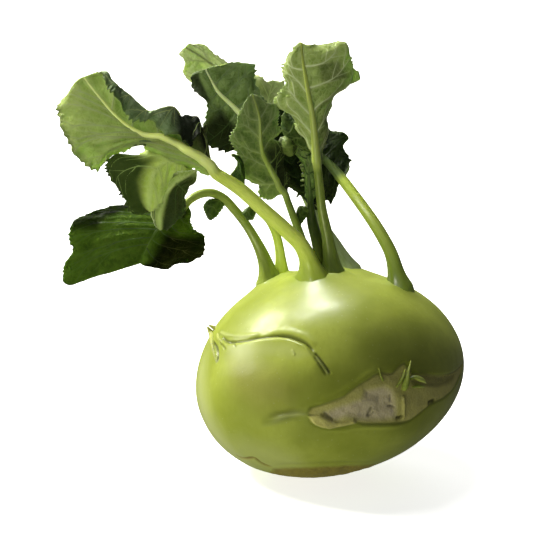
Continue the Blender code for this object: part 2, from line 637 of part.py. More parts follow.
def make_shoot():
    """The side shoot: a rounded bud with short leaf spikes, joined into one solid."""
    bud = bmesh.new()
    bmesh.ops.create_uvsphere(
        bud, u_segments=SHOOT_SEGMENTS, v_segments=SHOOT_RINGS, radius=SHOOT_BASE_RADIUS
    )
    points = [np.array(vertex.co) + np.array(SHOOT_BASE) for vertex in bud.verts]
    faces = [[vertex.index for vertex in face.verts] for face in bud.faces]
    bud.free()
    shoot = add_object("shoot_right", points, faces, "shoot")
    for number, (route, radii) in enumerate(SHOOT_SPIKES):
        sized = [(*point, radius) for point, radius in zip(route, radii)]
        spike = make_tube(f"spike_{number}", sized, "shoot")
        spike.hide_render = True
        spike.display_type = "WIRE"
        join = shoot.modifiers.new(spike.name, "BOOLEAN")
        join.operation = "UNION"
        join.solver = "EXACT"
        join.object = spike
    return shoot


def main():
    """Builds every piece of the kohlrabi."""
    clear_scene()
    make_bulb("bulb")
    clearance = make_bulb("bulb_clearance", GAP)
    clearance.hide_render = True
    clearance.display_type = "WIRE"
    for name, route in STEMS.items():
        cut(make_tube("stem_" + name, route, "stem"), clearance)
        make_blade("blade_" + name, BLADES[name], route[-1][3])
    for name, shape in LEAFLETS.items():
        make_blade("leaflet_" + name, shape, BLADE_HALF_THICKNESS)
    cut(make_stub(), clearance)
    cut(make_shoot(), clearance)


main()
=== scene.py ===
"""A kohlrabi with its leaves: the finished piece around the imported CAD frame.

Lengths are in millimetres in this script and become metres in each mesh. The origin is the centre of the
flat base, +Z is up and +Y points away from the side with the scars. Each leaf is a stalk that runs on as
the midrib, a blade and its veins. The shape numbers of stalks and blades repeat those of the CAD part.
"""

import json
import logging
import math
from dataclasses import dataclass, field
from enum import Enum

import bpy
import numpy as np
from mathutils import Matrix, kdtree

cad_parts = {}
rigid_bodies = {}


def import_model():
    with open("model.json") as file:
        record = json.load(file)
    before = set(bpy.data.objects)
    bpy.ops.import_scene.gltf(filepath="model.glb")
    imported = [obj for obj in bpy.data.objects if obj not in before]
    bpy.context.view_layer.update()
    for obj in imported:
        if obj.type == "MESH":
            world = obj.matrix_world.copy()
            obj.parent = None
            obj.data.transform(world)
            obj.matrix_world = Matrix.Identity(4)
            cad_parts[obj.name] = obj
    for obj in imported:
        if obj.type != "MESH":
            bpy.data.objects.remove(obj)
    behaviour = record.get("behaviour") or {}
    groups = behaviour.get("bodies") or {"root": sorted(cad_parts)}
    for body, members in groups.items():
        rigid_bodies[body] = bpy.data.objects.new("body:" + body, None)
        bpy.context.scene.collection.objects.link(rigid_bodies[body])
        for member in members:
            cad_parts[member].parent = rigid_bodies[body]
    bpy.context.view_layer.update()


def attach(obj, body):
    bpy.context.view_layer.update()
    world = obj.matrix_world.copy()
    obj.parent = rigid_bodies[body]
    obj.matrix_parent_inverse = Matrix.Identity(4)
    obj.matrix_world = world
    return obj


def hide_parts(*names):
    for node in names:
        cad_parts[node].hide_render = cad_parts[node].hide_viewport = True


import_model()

MM = 0.001
TO_MM = 1000.0  # Object coordinates are metres, and pattern sizes are given in millimetres
TINY = 1e-9
BODY = "root"

log = logging.getLogger("kohlrabi")

Point = tuple[float, float, float]
FlatPoint = tuple[float, float]
Row = tuple[float, Point, Point]
Section = tuple[float, float, float, float]
Socket = bpy.types.NodeSocket
Paint = Socket | str


class Slot(Enum):
    """The record's material slots."""

    SKIN = "bulb_skin"
    STALK = "leaf_stalk"
    BLADE = "leaf_blade"
    STUB = "dried_stub"
    SHOOT = "side_shoot"


class CreaseKind(Enum):
    """How a line on the bulb's skin stands against the skin round it."""

    GROOVE = "groove"
    RIDGE = "ridge"
    STEP = "step"


class Tint(Enum):
    """The painted masks that the bulb's mesh carries."""

    # partly paler skin, and partly painted light on the left edge and lower left
    PALE = "pale"
    # painted shade in grooves, cuts and hollows, under the side shoot and over the upper right
    DARK = "dark"
    # painted shade round the bases of the stalks
    FOOT = "foot"
    GREEN = "green"
    CORK = "cork"
    FLESH = "flesh"
    BROWN = "brown"


def linear(hex_colour: str) -> tuple[float, float, float, float]:
    """Turns an sRGB hex colour into the opaque linear colour that shaders take."""
    channels = [int(hex_colour[start : start + 2], 16) / 255.0 for start in (0, 2, 4)]
    red, green, blue = [c / 12.92 if c <= 0.04045 else ((c + 0.055) / 1.055) ** 2.4 for c in channels]
    return red, green, blue, 1.0


def socket_of(sockets: bpy.types.bpy_prop_collection, name: str) -> Socket:
    """Finds a socket by its identifier, or else by its name."""
    return next((socket for socket in sockets if socket.identifier == name), None) or sockets[name]


def feed(tree: bpy.types.NodeTree, node: bpy.types.Node, inputs: dict) -> None:
    """Links or sets a node's inputs, each given by its identifier or its name."""
    for name, value in inputs.items():
        socket = socket_of(node.inputs, name)
        if isinstance(value, Socket):
            tree.links.new(value, socket)
        else:
            socket.default_value = value


def add_node(
    tree: bpy.types.NodeTree, kind: str, settings: dict | None = None, inputs: dict | None = None
) -> bpy.types.Node:
    """Adds a node with its settings and links.

    Args:
        tree: The node tree that takes the node.
        kind: The node's type name.
        settings: Properties of the node.
        inputs: For each input, by identifier or name, an output socket to link or a plain value.

    Returns:
        The new node.
    """
    node = tree.nodes.new(kind)
    for name, value in (settings or {}).items():
        setattr(node, name, value)
    feed(tree, node, inputs or {})
    return node


def smoothstep(values: np.ndarray, low: float, high: float) -> np.ndarray:
    """Rises softly from 0 at low to 1 at high."""
    part = np.clip((values - low) / (high - low), 0.0, 1.0)
    return part * part * (3 - 2 * part)


def unit(vectors: np.ndarray) -> np.ndarray:
    """Scales vectors to length one."""
    return vectors / (np.linalg.norm(vectors, axis=-1, keepdims=True) + TINY)


def smooth_curve(places: np.ndarray, values: np.ndarray, at: np.ndarray) -> np.ndarray:
    """Reads a cubic that passes through values at uneven places.

    Args:
        places: Rising places of the known values.
        values: One row of numbers for each place.
        at: The places to read.

    Returns:
        One row of numbers for each place in at.
    """
    places = np.asarray(places, float)
    values = np.asarray(values, float)
    steps = np.diff(places)[:, None]
    slopes = np.diff(values, axis=0) / steps
    tangents = np.vstack([slopes[:1], slopes, slopes[-1:]])
    weights = np.vstack([steps[:1], steps, steps[-1:]])
    tangents = (tangents[:-1] * weights[1:] + tangents[1:] * weights[:-1]) / (weights[:-1] + weights[1:])
    cell = np.clip(np.searchsorted(places, at, side="right") - 1, 0, len(places) - 2)
    step = steps[cell]
    part = ((np.asarray(at) - places[cell]) / step[:, 0])[:, None]
    rest = 1.0 - part
    return (
        values[cell] * rest**2 * (1 + 2 * part)
        + values[cell + 1] * part**2 * (1 + 2 * rest)
        + tangents[cell] * step * part * rest**2
        - tangents[cell + 1] * step * part**2 * rest
    )


def lengths_along(points: np.ndarray) -> np.ndarray:
    """Gives each point's distance from the first, measured along the points."""
    steps = np.linalg.norm(np.diff(points[:, :3], axis=0), axis=1)
    return np.concatenate([[0.0], np.cumsum(steps)])


def smooth_route(points: np.ndarray, step: float) -> np.ndarray:
    """Lays a smooth route of even steps through a few points.

    Args:
        points: Rows of x, y, z and any further values, in millimetres.
        step: Distance between the new points.

    Returns:
        The same columns at even steps along the route.
    """
    points = np.asarray(points, float)
    along = lengths_along(points)
    count = max(int(along[-1] / step) + 1, 4)
    return smooth_curve(along, points, np.linspace(0.0, along[-1], count))


def soft_noise(points: np.ndarray, size: float, seed: int) -> np.ndarray:
    """Makes smooth random values from -1 to 1 in space.

    Args:
        points: Rows of x, y, z.
        size: Width of one bump, in the units of the points.
        seed: Picks one pattern.

    Returns:
        One value for each point.
    """
    scaled = np.asarray(points, float) / size + seed * 17.31
    cell = np.floor(scaled).astype(np.int64)
    part = scaled - cell
    part = part * part * (3 - 2 * part)
    total = np.zeros(scaled.shape[:-1])
    for corner in np.ndindex(2, 2, 2):
        offset = np.array(corner)
        weight = np.prod(np.where(offset, part, 1 - part), axis=-1)
        key = (cell + offset) @ np.array([73856093, 19349663, 83492791])
        key = ((key ^ (key >> 13)) * 1274126177) & 0xFFFFFFFF
        key = ((key ^ (key >> 15)) * 2246822519) & 0xFFFFFFFF
        total += weight * (((key >> 8) & 0xFFFF) / 32767.5 - 1.0)
    return total


def measure(
    points: np.ndarray, route: np.ndarray, outward: np.ndarray
) -> tuple[np.ndarray, np.ndarray, np.ndarray]:
    """Measures points against a route that lies on a surface.

    Args:
        points: Rows of x, y, z.
        route: The route's points, in order.
        outward: The surface's outward direction at each point.

    Returns:
        The distance to the route, the place along it from 0 to 1, and the side: 1 on the right of the
        route as it is seen from outside, -1 on the left.
    """
    steps = np.diff(route, axis=0)
    lengths = np.linalg.norm(steps, axis=1) + TINY
    before = np.concatenate([[0.0], np.cumsum(lengths)])
    distance = np.full(len(points), np.inf)
    along = np.zeros(len(points))
    side = np.ones(len(points))
    for start, step, length, passed in zip(route[:-1], steps, lengths, before):
        away = points - start
        part = np.clip(away @ step / length**2, 0.0, 1.0)
        gap = np.linalg.norm(away - part[:, None] * step, axis=1)
        closer = gap < distance
        distance = np.where(closer, gap, distance)
        along = np.where(closer, (passed + part * length) / before[-1], along)
        turn = (np.cross(away, step) * outward).sum(axis=1)
        side = np.where(closer, np.sign(turn), side)
    return distance, along, side


def inside(flat: np.ndarray, outline: np.ndarray) -> np.ndarray:
    """Tells which flat points lie inside a closed outline."""
    within = np.zeros(len(flat), bool)
    for (x0, z0), (x1, z1) in zip(outline, np.roll(outline, -1, axis=0)):
        crosses = (z0 > flat[:, 1]) != (z1 > flat[:, 1])
        at = x0 + (flat[:, 1] - z0) * (x1 - x0) / (z1 - z0 + TINY)
        within ^= crosses & (flat[:, 0] < at)
    return within


def grid_faces(rows: int, columns: int, start: int = 0, flip: bool = False) -> np.ndarray:
    """Lists the four-cornered faces of a grid of points, row by row."""
    row, column = np.meshgrid(np.arange(rows - 1), np.arange(columns - 1), indexing="ij")
    first = (start + row * columns + column).ravel()
    faces = np.stack([first, first + 1, first + columns + 1, first + columns], axis=1)
    return faces[:, ::-1] if flip else faces


def plain_mesh(
    name: str,
    points: np.ndarray,
    faces: list[np.ndarray],
    attributes: dict[str, np.ndarray] | None = None,
    edges: np.ndarray | None = None,
) -> bpy.types.Object:
    """Makes a smooth mesh object at the origin from points in millimetres.

    Args:
        name: The object's name.
        points: Rows of x, y, z in millimetres.
        faces: Arrays of corner numbers, one array for each number of corners.
        attributes: Values stored on the points, one number or three for each.
        edges: Pairs of point numbers, for a mesh of lines.

    Returns:
        The new object, linked to the scene.
    """
    mesh = bpy.data.meshes.new(name)
    mesh.vertices.add(len(points))
    mesh.vertices.foreach_set("co", (np.asarray(points, float) * MM).ravel())
    if edges is not None:
        mesh.edges.add(len(edges))
        mesh.edges.foreach_set("vertices", np.asarray(edges).ravel())
    totals = np.concatenate([np.full(len(block), block.shape[1]) for block in faces]) if faces else []
    if len(totals):
        mesh.loops.add(int(np.sum(totals)))
        mesh.loops.foreach_set("vertex_index", np.concatenate([block.ravel() for block in faces]))
        mesh.polygons.add(len(totals))
        starts = np.concatenate([[0], np.cumsum(totals)[:-1]])
        mesh.polygons.foreach_set("loop_start", starts.astype(np.int32))
        mesh.polygons.foreach_set("loop_total", totals.astype(np.int32))
    mesh.update(calc_edges=True)
    mesh.validate()
    for key, values in (attributes or {}).items():
        flat = values.ndim == 1
        layer = mesh.attributes.new(key, "FLOAT" if flat else "FLOAT_VECTOR", "POINT")
        layer.data.foreach_set("value" if flat else "vector", np.asarray(values, float).ravel())
    if len(totals):
        mesh.shade_smooth()
    made = bpy.data.objects.new(name, mesh)
    bpy.context.scene.collection.objects.link(made)
    return made


def grown(guide: bpy.types.Object, tree: bpy.types.NodeTree, values: dict) -> bpy.types.Object:
    """Runs a Geometry Nodes tree on a guide and keeps the result as a plain mesh.

    Args:
        guide: The object that the tree reads. It is removed.
        tree: The Geometry Nodes tree.
        values: The tree's inputs by name.

    Returns:
        A new object with the finished mesh and the guide's name.
    """
    modifier = guide.modifiers.new("grow", "NODES")
    modifier.node_group = tree
    for item in tree.interface.items_tree:
        if getattr(item, "in_out", "") == "INPUT" and item.name in values:
            modifier[item.identifier] = values[item.name]
    graph = bpy.context.evaluated_depsgraph_get()
    mesh = bpy.data.meshes.new_from_object(guide.evaluated_get(graph))
    name = guide.name
    bpy.data.objects.remove(guide, do_unlink=True)
    made = bpy.data.objects.new(name, mesh)
    mesh.name = name
    bpy.context.scene.collection.objects.link(made)
    return made


def sweep_tree() -> bpy.types.NodeTree:
    """Builds the tree that sweeps a ribbed round section along lines.

    The lines carry "thickness", the radius in metres. The mesh gets "ring", the place round the section.

    Returns:
        The Geometry Nodes tree.
    """
    tree = bpy.data.node_groups.new("sweep", "GeometryNodeTree")
    for label, kind in (
        ("Geometry", "Geometry"), ("Sides", "Int"), ("Ribs", "Float"), ("Rib Height", "Float"),
        ("Material", "Material"),
    ):
        tree.interface.new_socket(label, in_out="INPUT", socket_type="NodeSocket" + kind)
    tree.interface.new_socket("Geometry", in_out="OUTPUT", socket_type="NodeSocketGeometry")
    given = add_node(tree, "NodeGroupInput").outputs
    section = {"Resolution": given["Sides"], "Radius": 1.0}
    circle = add_node(tree, "GeometryNodeCurvePrimitiveCircle", inputs=section)
    place = add_node(tree, "GeometryNodeInputPosition").outputs[0]
    ring = {"Geometry": circle.outputs[0], "Name": "ring", "Value": place}
    ringed = add_node(tree, "GeometryNodeStoreNamedAttribute", {"data_type": "FLOAT_VECTOR"}, ring)
    swell = add_node(tree, "GeometryNodeSplineParameter").outputs["Factor"]
    for operation, others in (
        ("MULTIPLY", {"Value_001": given["Ribs"]}),
        ("MULTIPLY", {"Value_001": math.tau}),
        ("COSINE", {}),
        ("MULTIPLY_ADD", {"Value_001": given["Rib Height"], "Value_002": 1.0}),
    ):
        feeds = {"Value": swell, **others}
        swell = add_node(tree, "ShaderNodeMath", {"operation": operation}, feeds).outputs[0]
    ribbed = add_node(tree, "ShaderNodeVectorMath", {"operation": "SCALE"}, {"Vector": place, "Scale": swell})
    profile = add_node(
        tree, "GeometryNodeSetPosition", inputs={"Geometry": ringed.outputs[0], "Position": ribbed.outputs[0]}
    )
    curve = add_node(tree, "GeometryNodeMeshToCurve", inputs={"Mesh": given["Geometry"]})
    radius = add_node(tree, "GeometryNodeInputNamedAttribute", {"data_type": "FLOAT"}, {"Name": "thickness"})
    sweep = {
        "Curve": curve.outputs[0], "Profile Curve": profile.outputs[0], "Scale": radius.outputs["Attribute"],
        "Fill Caps": True,
    }
    shape = add_node(tree, "GeometryNodeCurveToMesh", inputs=sweep)
    for kind, others in (
        ("GeometryNodeSetShadeSmooth", {}),
        ("GeometryNodeRealizeInstances", {}),
        ("GeometryNodeSetMaterial", {"Material": given["Material"]}),
        ("NodeGroupOutput", {}),
    ):
        shape = add_node(tree, kind, inputs={"Geometry": shape.outputs[0], **others})
    return tree


def swept(
    name: str,
    routes: list[np.ndarray],
    tree: bpy.types.NodeTree,
    material: bpy.types.Material,
    sides: int,
    ribs: float = 0.0,
    rib_height: float = 0.0,
) -> bpy.types.Object:
    """Sweeps tubes along several routes and keeps them as one mesh.

    Args:
        name: The piece's name.
        routes: For each tube, rows of x, y, z, radius and tone, in millimetres but for the tone.
        tree: The sweep tree.
        material: The finish.
        sides: Points round the section.
        ribs: Ribs round the section.
        rib_height: Height of a rib, as a part of the radius.

    Returns:
        The finished piece.
    """
    points = np.vstack(routes)
    edges = []
    start = 0
    for route in routes:
        numbers = np.arange(start, start + len(route))
        edges.append(np.stack([numbers[:-1], numbers[1:]], axis=1))
        start += len(route)
    attributes = {
        "thickness": points[:, 3] * MM,
        "tone": points[:, 4],
        "along": np.concatenate([lengths_along(route) for route in routes]),
    }
    guide = plain_mesh(name, points[:, :3], [], attributes, np.vstack(edges))
    values = {"Sides": sides, "Ribs": ribs, "Rib Height": rib_height, "Material": material}
    return grown(guide, tree, values)


def register(piece: bpy.types.Object, slot: Slot, *nodes: str) -> None:
    """Puts a finished piece on the body and says what it stands for.

    Args:
        piece: The finished piece.
        slot: The record's slot for the piece. It is not used.
        nodes: The CAD nodes that the piece replaces.
    """
    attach(piece, BODY)
    if nodes:
        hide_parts(*nodes)
    faces = sum(len(face.vertices) - 2 for face in piece.data.polygons)
    log.info("%s: %d triangles, replaces %s", piece.name, faces, ", ".join(nodes) or "nothing")


# ---------------------------------------------------------------------------------------------- finishes


def start_finish(name: str) -> tuple[bpy.types.Material, bpy.types.NodeTree, bpy.types.Node]:
    """Makes a material with a Principled shader and returns it, its tree and the shader."""
    made = bpy.data.materials.new(name)
    made.use_nodes = True
    tree = made.node_tree
    return made, tree, next(node for node in tree.nodes if node.type == "BSDF_PRINCIPLED")


def in_millimetres(tree: bpy.types.NodeTree, upward: float = 1.0) -> Socket:
    """Gives the Object coordinates in millimetres, with the upward one stretched."""
    coords = add_node(tree, "ShaderNodeTexCoord").outputs["Object"]
    scale = (TO_MM, TO_MM, TO_MM * upward)
    return add_node(tree, "ShaderNodeMapping", inputs={"Vector": coords, "Scale": scale}).outputs[0]


def masks_of(tree: bpy.types.NodeTree, *names: str) -> list[Socket]:
    """Reads the masks that the mesh carries."""
    return [add_node(tree, "ShaderNodeAttribute", {"attribute_name": name}).outputs["Fac"] for name in names]


def patchy(
    tree: bpy.types.NodeTree,
    place: Socket,
    size: float,
    span: tuple[float, float],
    most: float = 1.0,
    detail: float = 3.0,
    grain: float = 0.5,
) -> tuple[Socket, Socket]:
    """Makes random patches.

    Args:
        tree: The material's tree.
        place: Where each point is.
        size: Width of a patch, in the units of place.
        span: The noise at which a patch starts and at which it is full.
        most: The mask's value in a full patch.
        detail: Octaves of finer noise.
        grain: Strength of the finer noise.

    Returns:
        The plain noise and the mask of the patches.
    """
    inputs = {"Vector": place, "Scale": 1 / size, "Detail": detail, "Roughness": grain}
    noise = add_node(tree, "ShaderNodeTexNoise", inputs=inputs).outputs["Fac"]
    inputs = {"Value": noise, "From Min": span[0], "From Max": span[1], "To Max": most}
    return noise, add_node(tree, "ShaderNodeMapRange", inputs=inputs).outputs[0]


def painted(tree: bpy.types.NodeTree, base: Paint, layers: list[tuple[Socket, Paint]]) -> Socket:
    """Paints layers over a base colour.

    Args:
        tree: The material's tree.
        base: The colour underneath.
        layers: The mask and the colour of each layer, from the lowest up.

    Returns:
        The finished colour.
    """
    result = base
    for mask, paint in layers:
        inputs = {"Factor_Float": mask, "A_Color": result, "B_Color": paint}
        inputs = {name: linear(value) if isinstance(value, str) else value for name, value in inputs.items()}
        mixed = add_node(tree, "ShaderNodeMix", {"data_type": "RGBA"}, inputs)
        result = socket_of(mixed.outputs, "Result_Color")
    return result


@dataclass(frozen=True)
class BulbSkin:
    """Waxy kohlrabi skin: a thin cuticle over pale green tissue, with a soft satin shine."""

    light: str = "bac74e"
    deep: str = "a0ad38"
    mottle: str = "adb945"
    freckle: str = "d2dc8b"
    # The DARK and FOOT colours are painted shade: in grooves, cuts and hollows, and round the stalks' bases.
    # PALE is partly paler skin and partly painted light on the lower left.
    tints: tuple[tuple[Tint, str], ...] = (
        (Tint.PALE, "cdd68a"), (Tint.GREEN, "9fb932"), (Tint.FOOT, "8fa236"), (Tint.CORK, "ddd87e"),
        (Tint.FLESH, "ece0b4"), (Tint.BROWN, "8a7434"), (Tint.DARK, "3f4314"),
    )
    cloud_mm: float = 22.0
    mottle_mm: float = 3.2
    streak_mm: float = 1.6
    streak_stretch: float = 0.12
    pore_mm: float = 0.5
    torn_mm: float = 1.3
    freckle_mm: float = 2.6
    roughness: float = 0.36
    raw_roughness: float = 0.8

    def build(self) -> bpy.types.Material:
        """Builds the material."""
        made, tree, shader = start_finish("kohlrabi_skin")
        place = in_millimetres(tree)
        cloud = add_node(
            tree, "ShaderNodeTexNoise", inputs={"Vector": place, "Scale": 1 / self.cloud_mm, "Detail": 3.0}
        )
        cloudy = add_node(
            tree,
            "ShaderNodeMapRange",
            {"interpolation_type": "SMOOTHSTEP"},
            {"Value": cloud.outputs["Fac"], "From Min": 0.35, "From Max": 0.65},
        ).outputs[0]
        mottle, mottled = patchy(tree, place, self.mottle_mm, (0.4, 0.75), 0.55, 4.0, 0.6)
        drawn_out = in_millimetres(tree, self.streak_stretch)
        _, streaked = patchy(tree, drawn_out, self.streak_mm, (0.5, 0.8), 0.35)
        cells = add_node(tree, "ShaderNodeTexVoronoi", inputs={"Vector": place, "Scale": 1 / self.freckle_mm})
        near = cells.outputs["Distance"]
        dots = {"Value": near, "From Min": 0.07, "From Max": 0.13, "To Min": 0.32, "To Max": 0}
        freckled = add_node(tree, "ShaderNodeMapRange", inputs=dots).outputs[0]
        layers = [(cloudy, self.deep), (mottled, self.mottle)]
        layers += [(streaked, self.deep), (freckled, self.freckle)]
        masks = dict(zip(Tint, masks_of(tree, *(tint.value for tint in Tint))))
        layers += [(masks[tint], paint) for tint, paint in self.tints]
        raw = masks[Tint.CORK]
        for tint in (Tint.FLESH, Tint.BROWN):
            both = {"Value": raw, "Value_001": masks[tint]}
            raw = add_node(tree, "ShaderNodeMath", {"operation": "MAXIMUM"}, both).outputs[0]
        sheen = add_node(
            tree,
            "ShaderNodeMapRange",
            inputs={
                "Value": mottle, "From Min": 0.3, "From Max": 0.7,
                "To Min": self.roughness - 0.05, "To Max": self.roughness + 0.07,
            },
        ).outputs[0]
        rough = add_node(
            tree,
            "ShaderNodeMix",
            {"data_type": "FLOAT"},
            {"Factor_Float": raw, "A_Float": sheen, "B_Float": self.raw_roughness},
        )
        bumps = []
        for size, detail, grain in ((self.pore_mm, 4.0, 0.65), (self.torn_mm, 5.0, 0.7)):
            inputs = {"Vector": place, "Scale": 1 / size, "Detail": detail, "Roughness": grain}
            bumps.append(add_node(tree, "ShaderNodeTexNoise", inputs=inputs).outputs["Fac"])
        pores, torn = bumps
        torn = add_node(
            tree, "ShaderNodeMath", {"operation": "MULTIPLY"}, {"Value": torn, "Value_001": raw}
        ).outputs[0]
        porous = {"Strength": 0.12, "Distance": 0.0002, "Height": pores}
        porous = add_node(tree, "ShaderNodeBump", inputs=porous).outputs[0]
        bump = {"Strength": 0.7, "Distance": 0.0006, "Height": torn, "Normal": porous}
        values = {
            "Base Color": painted(tree, self.light, layers),
            "Roughness": socket_of(rough.outputs, "Result_Float"),
            "Normal": add_node(tree, "ShaderNodeBump", inputs=bump).outputs[0],
            "IOR": 1.45,
            "Subsurface Weight": 0.15,
            "Subsurface Radius": (1.0, 0.9, 0.25),
            "Subsurface Scale": 0.002,
            "Coat Weight": 0.22,
            "Coat Roughness": 0.2,
        }
        feed(tree, shader, values)
        return made


@dataclass(frozen=True)
class StalkSkin:
    """Leaf stalk: smooth waxy rind with fine fibres along it, paler and drier where it is the midrib, with
    painted shade at its foot.
    """

    name: str
    stalk: str = "d0df68"
    shade: str = "b6ca50"
    rib: str = "bccb78"
    # painted shade at the base, where the stalk leaves the bulb
    foot: str = "8fa038"
    foot_shade_strength: float = 0.6
    fibre_count: float = 5.5
    fibre_draw: float = 0.06
    patch_mm: float = 9.0
    roughness: float = 0.3

    def build(self) -> bpy.types.Material:
        """Builds the material."""
        made, tree, shader = start_finish("stalk_rind_" + self.name)
        ring = add_node(tree, "ShaderNodeAttribute", {"attribute_name": "ring"}).outputs["Vector"]
        along, tone = masks_of(tree, "along", "tone")
        drawn = add_node(
            tree, "ShaderNodeMath", {"operation": "MULTIPLY"}, {"Value": along, "Value_001": self.fibre_draw}
        )
        lift = add_node(tree, "ShaderNodeCombineXYZ", inputs={"Z": drawn.outputs[0]}).outputs[0]
        grain = add_node(
            tree, "ShaderNodeVectorMath", {"operation": "ADD"}, {"Vector": ring, "Vector_001": lift}
        ).outputs[0]
        fibres, fibrous = patchy(tree, grain, 1 / self.fibre_count, (0.4, 0.65), 0.8, 4.0, 0.6)
        _, patched = patchy(tree, in_millimetres(tree), self.patch_mm, (0.4, 0.7), 0.6)
        # painted shade at the foot, where the tone falls below zero
        low = {"Value": tone, "From Min": -1.0, "From Max": 0.0, "To Min": self.foot_shade_strength, "To Max": 0.0}
        foot_shade_mask = add_node(tree, "ShaderNodeMapRange", inputs=low).outputs[0]
        layers = [(fibrous, self.shade), (patched, self.shade), (tone, self.rib), (foot_shade_mask, self.foot)]
        bump = {"Strength": 0.35, "Distance": 0.0002, "Height": fibres}
        values = {
            "Base Color": painted(tree, self.stalk, layers),
            "Normal": add_node(tree, "ShaderNodeBump", inputs=bump).outputs[0],
            "Roughness": self.roughness,
            "IOR": 1.45,
            "Subsurface Weight": 0.45,
            "Subsurface Radius": (1.0, 1.0, 0.3),
            "Subsurface Scale": 0.0022,
        }
        feed(tree, shader, values)
        return made


@dataclass(frozen=True)
class LeafTissue:
    """Leaf blade: matt waxy tissue with a net of fine veins, paler and greyer on its underside."""

    name: str
    upper: str = "42602a"
    upper_deep: str = "2c4718"
    under: str = "a9b966"
    under_deep: str = "8fa24f"
    vein_upper: str = "8a9c58"
    vein_under: str = "b8c97a"
    edge: str = "c3cf92"
    # painted shade in deep folds of the blade
    fold: str = "070e02"
    net_mm: float = 1.9
    warp_mm: float = 2.5
    mottle_mm: float = 4.0
    fine_mm: float = 0.35
    roughness: float = 0.55
    translucency: float = 0.8
    gloss: float = 0.28

    def build(self) -> bpy.types.Material:
        """Builds the material."""
        made, tree, shader = start_finish("leaf_tissue_" + self.name)
        under, vein, edge, shade = masks_of(tree, "under", "vein", "edge", "shade")
        place = in_millimetres(tree)
        warp = add_node(
            tree, "ShaderNodeTexNoise", inputs={"Vector": place, "Scale": 1 / self.warp_mm, "Detail": 2.0}
        ).outputs["Color"]
        bent = add_node(
            tree, "ShaderNodeVectorMath", {"operation": "ADD"}, {"Vector": place, "Vector_001": warp}
        ).outputs[0]
        net = add_node(
            tree,
            "ShaderNodeTexVoronoi",
            {"feature": "DISTANCE_TO_EDGE"},
            {"Vector": bent, "Scale": 1 / self.net_mm},
        ).outputs["Distance"]
        netted, pillow = [
            add_node(tree, "ShaderNodeMapRange", {"interpolation_type": "SMOOTHSTEP"}, span).outputs[0]
            for span in (
                {"Value": net, "From Min": 0.02, "From Max": 0.14, "To Min": 0.2, "To Max": 0.0},
                {"Value": net, "From Min": 0.0, "From Max": 0.3},
            )
        ]
        _, mottled = patchy(tree, place, self.mottle_mm, (0.35, 0.68), 1.0, 5.0, 0.6)
        veins = painted(tree, self.vein_upper, [(under, self.vein_under)])
        layers = [
            (mottled, self.upper_deep),
            (under, painted(tree, self.under, [(mottled, self.under_deep)])),
            (netted, veins),
            (vein, veins),
            (edge, self.edge),
            # painted shade over the folds
            (shade, self.fold),
        ]
        fine = add_node(
            tree, "ShaderNodeTexNoise", inputs={"Vector": place, "Scale": 1 / self.fine_mm, "Detail": 3.0}
        ).outputs["Fac"]
        height = add_node(
            tree,
            "ShaderNodeMath",
            {"operation": "MULTIPLY_ADD"},
            {"Value": fine, "Value_001": 0.25, "Value_002": pillow},
        ).outputs[0]
        bump = {"Strength": 0.45, "Distance": 0.00025, "Height": height}
        values = {
            "Base Color": painted(tree, self.upper, layers),
            "Normal": add_node(tree, "ShaderNodeBump", inputs=bump).outputs[0],
            "Roughness": self.roughness,
            "IOR": 1.42,
            "Specular IOR Level": self.gloss,
            "Subsurface Weight": self.translucency,
            "Subsurface Radius": (0.8, 0.9, 0.75),
            "Subsurface Scale": 0.0009,
        }
        feed(tree, shader, values)
        return made


@dataclass(frozen=True)
class VeinRind:
    """Raised leaf veins: firm pale tissue, smoother than the blade round them."""

    name: str
    colour: str = "c3d190"
    shade: str = "9fb266"
    patch_mm: float = 3.0
    roughness: float = 0.45

    def build(self) -> bpy.types.Material:
        """Builds the material."""
        made, tree, shader = start_finish("vein_rind_" + self.name)
        (tone,) = masks_of(tree, "tone")
        inputs = {"Vector": in_millimetres(tree), "Scale": 1 / self.patch_mm, "Detail": 3.0}
        patches = add_node(tree, "ShaderNodeTexNoise", inputs=inputs).outputs["Fac"]
        # fades to the shade colour in random patches, towards the tips, and as painted shade where a fold
        # covers the vein
        fade = add_node(
            tree,
            "ShaderNodeMath",
            {"operation": "MAXIMUM", "use_clamp": True},
            {"Value": patches, "Value_001": tone},
        ).outputs[0]
        bump = {"Strength": 0.2, "Distance": 0.0001, "Height": patches}
        values = {
            "Base Color": painted(tree, self.colour, [(fade, self.shade)]),
            "Normal": add_node(tree, "ShaderNodeBump", inputs=bump).outputs[0],
            "Roughness": self.roughness,
            "IOR": 1.42,
        }
        feed(tree, shader, values)
        return made


@dataclass(frozen=True)
class SmallTissue:
    """Tender or drying plant tissue of the side shoot and the old stub: satin, with faint fibres."""

    name: str
    colour: str
    second: str
    tip: str
    roughness: float = 0.5
    patch_mm: float = 1.4

    def build(self) -> bpy.types.Material:
        """Builds the material."""
        made, tree, shader = start_finish("tender_tissue_" + self.name)
        (tone,) = masks_of(tree, "tone")
        patches, patched = patchy(tree, in_millimetres(tree), self.patch_mm, (0.4, 0.65), 1.0, 4.0)
        bump = {"Strength": 0.4, "Distance": 0.0002, "Height": patches}
        values = {
            "Base Color": painted(tree, self.colour, [(patched, self.second), (tone, self.tip)]),
            "Normal": add_node(tree, "ShaderNodeBump", inputs=bump).outputs[0],
            "Roughness": self.roughness,
            "Subsurface Weight": 0.4,
            "Subsurface Radius": (1.0, 1.0, 0.3),
            "Subsurface Scale": 0.001,
        }
        feed(tree, shader, values)
        return made


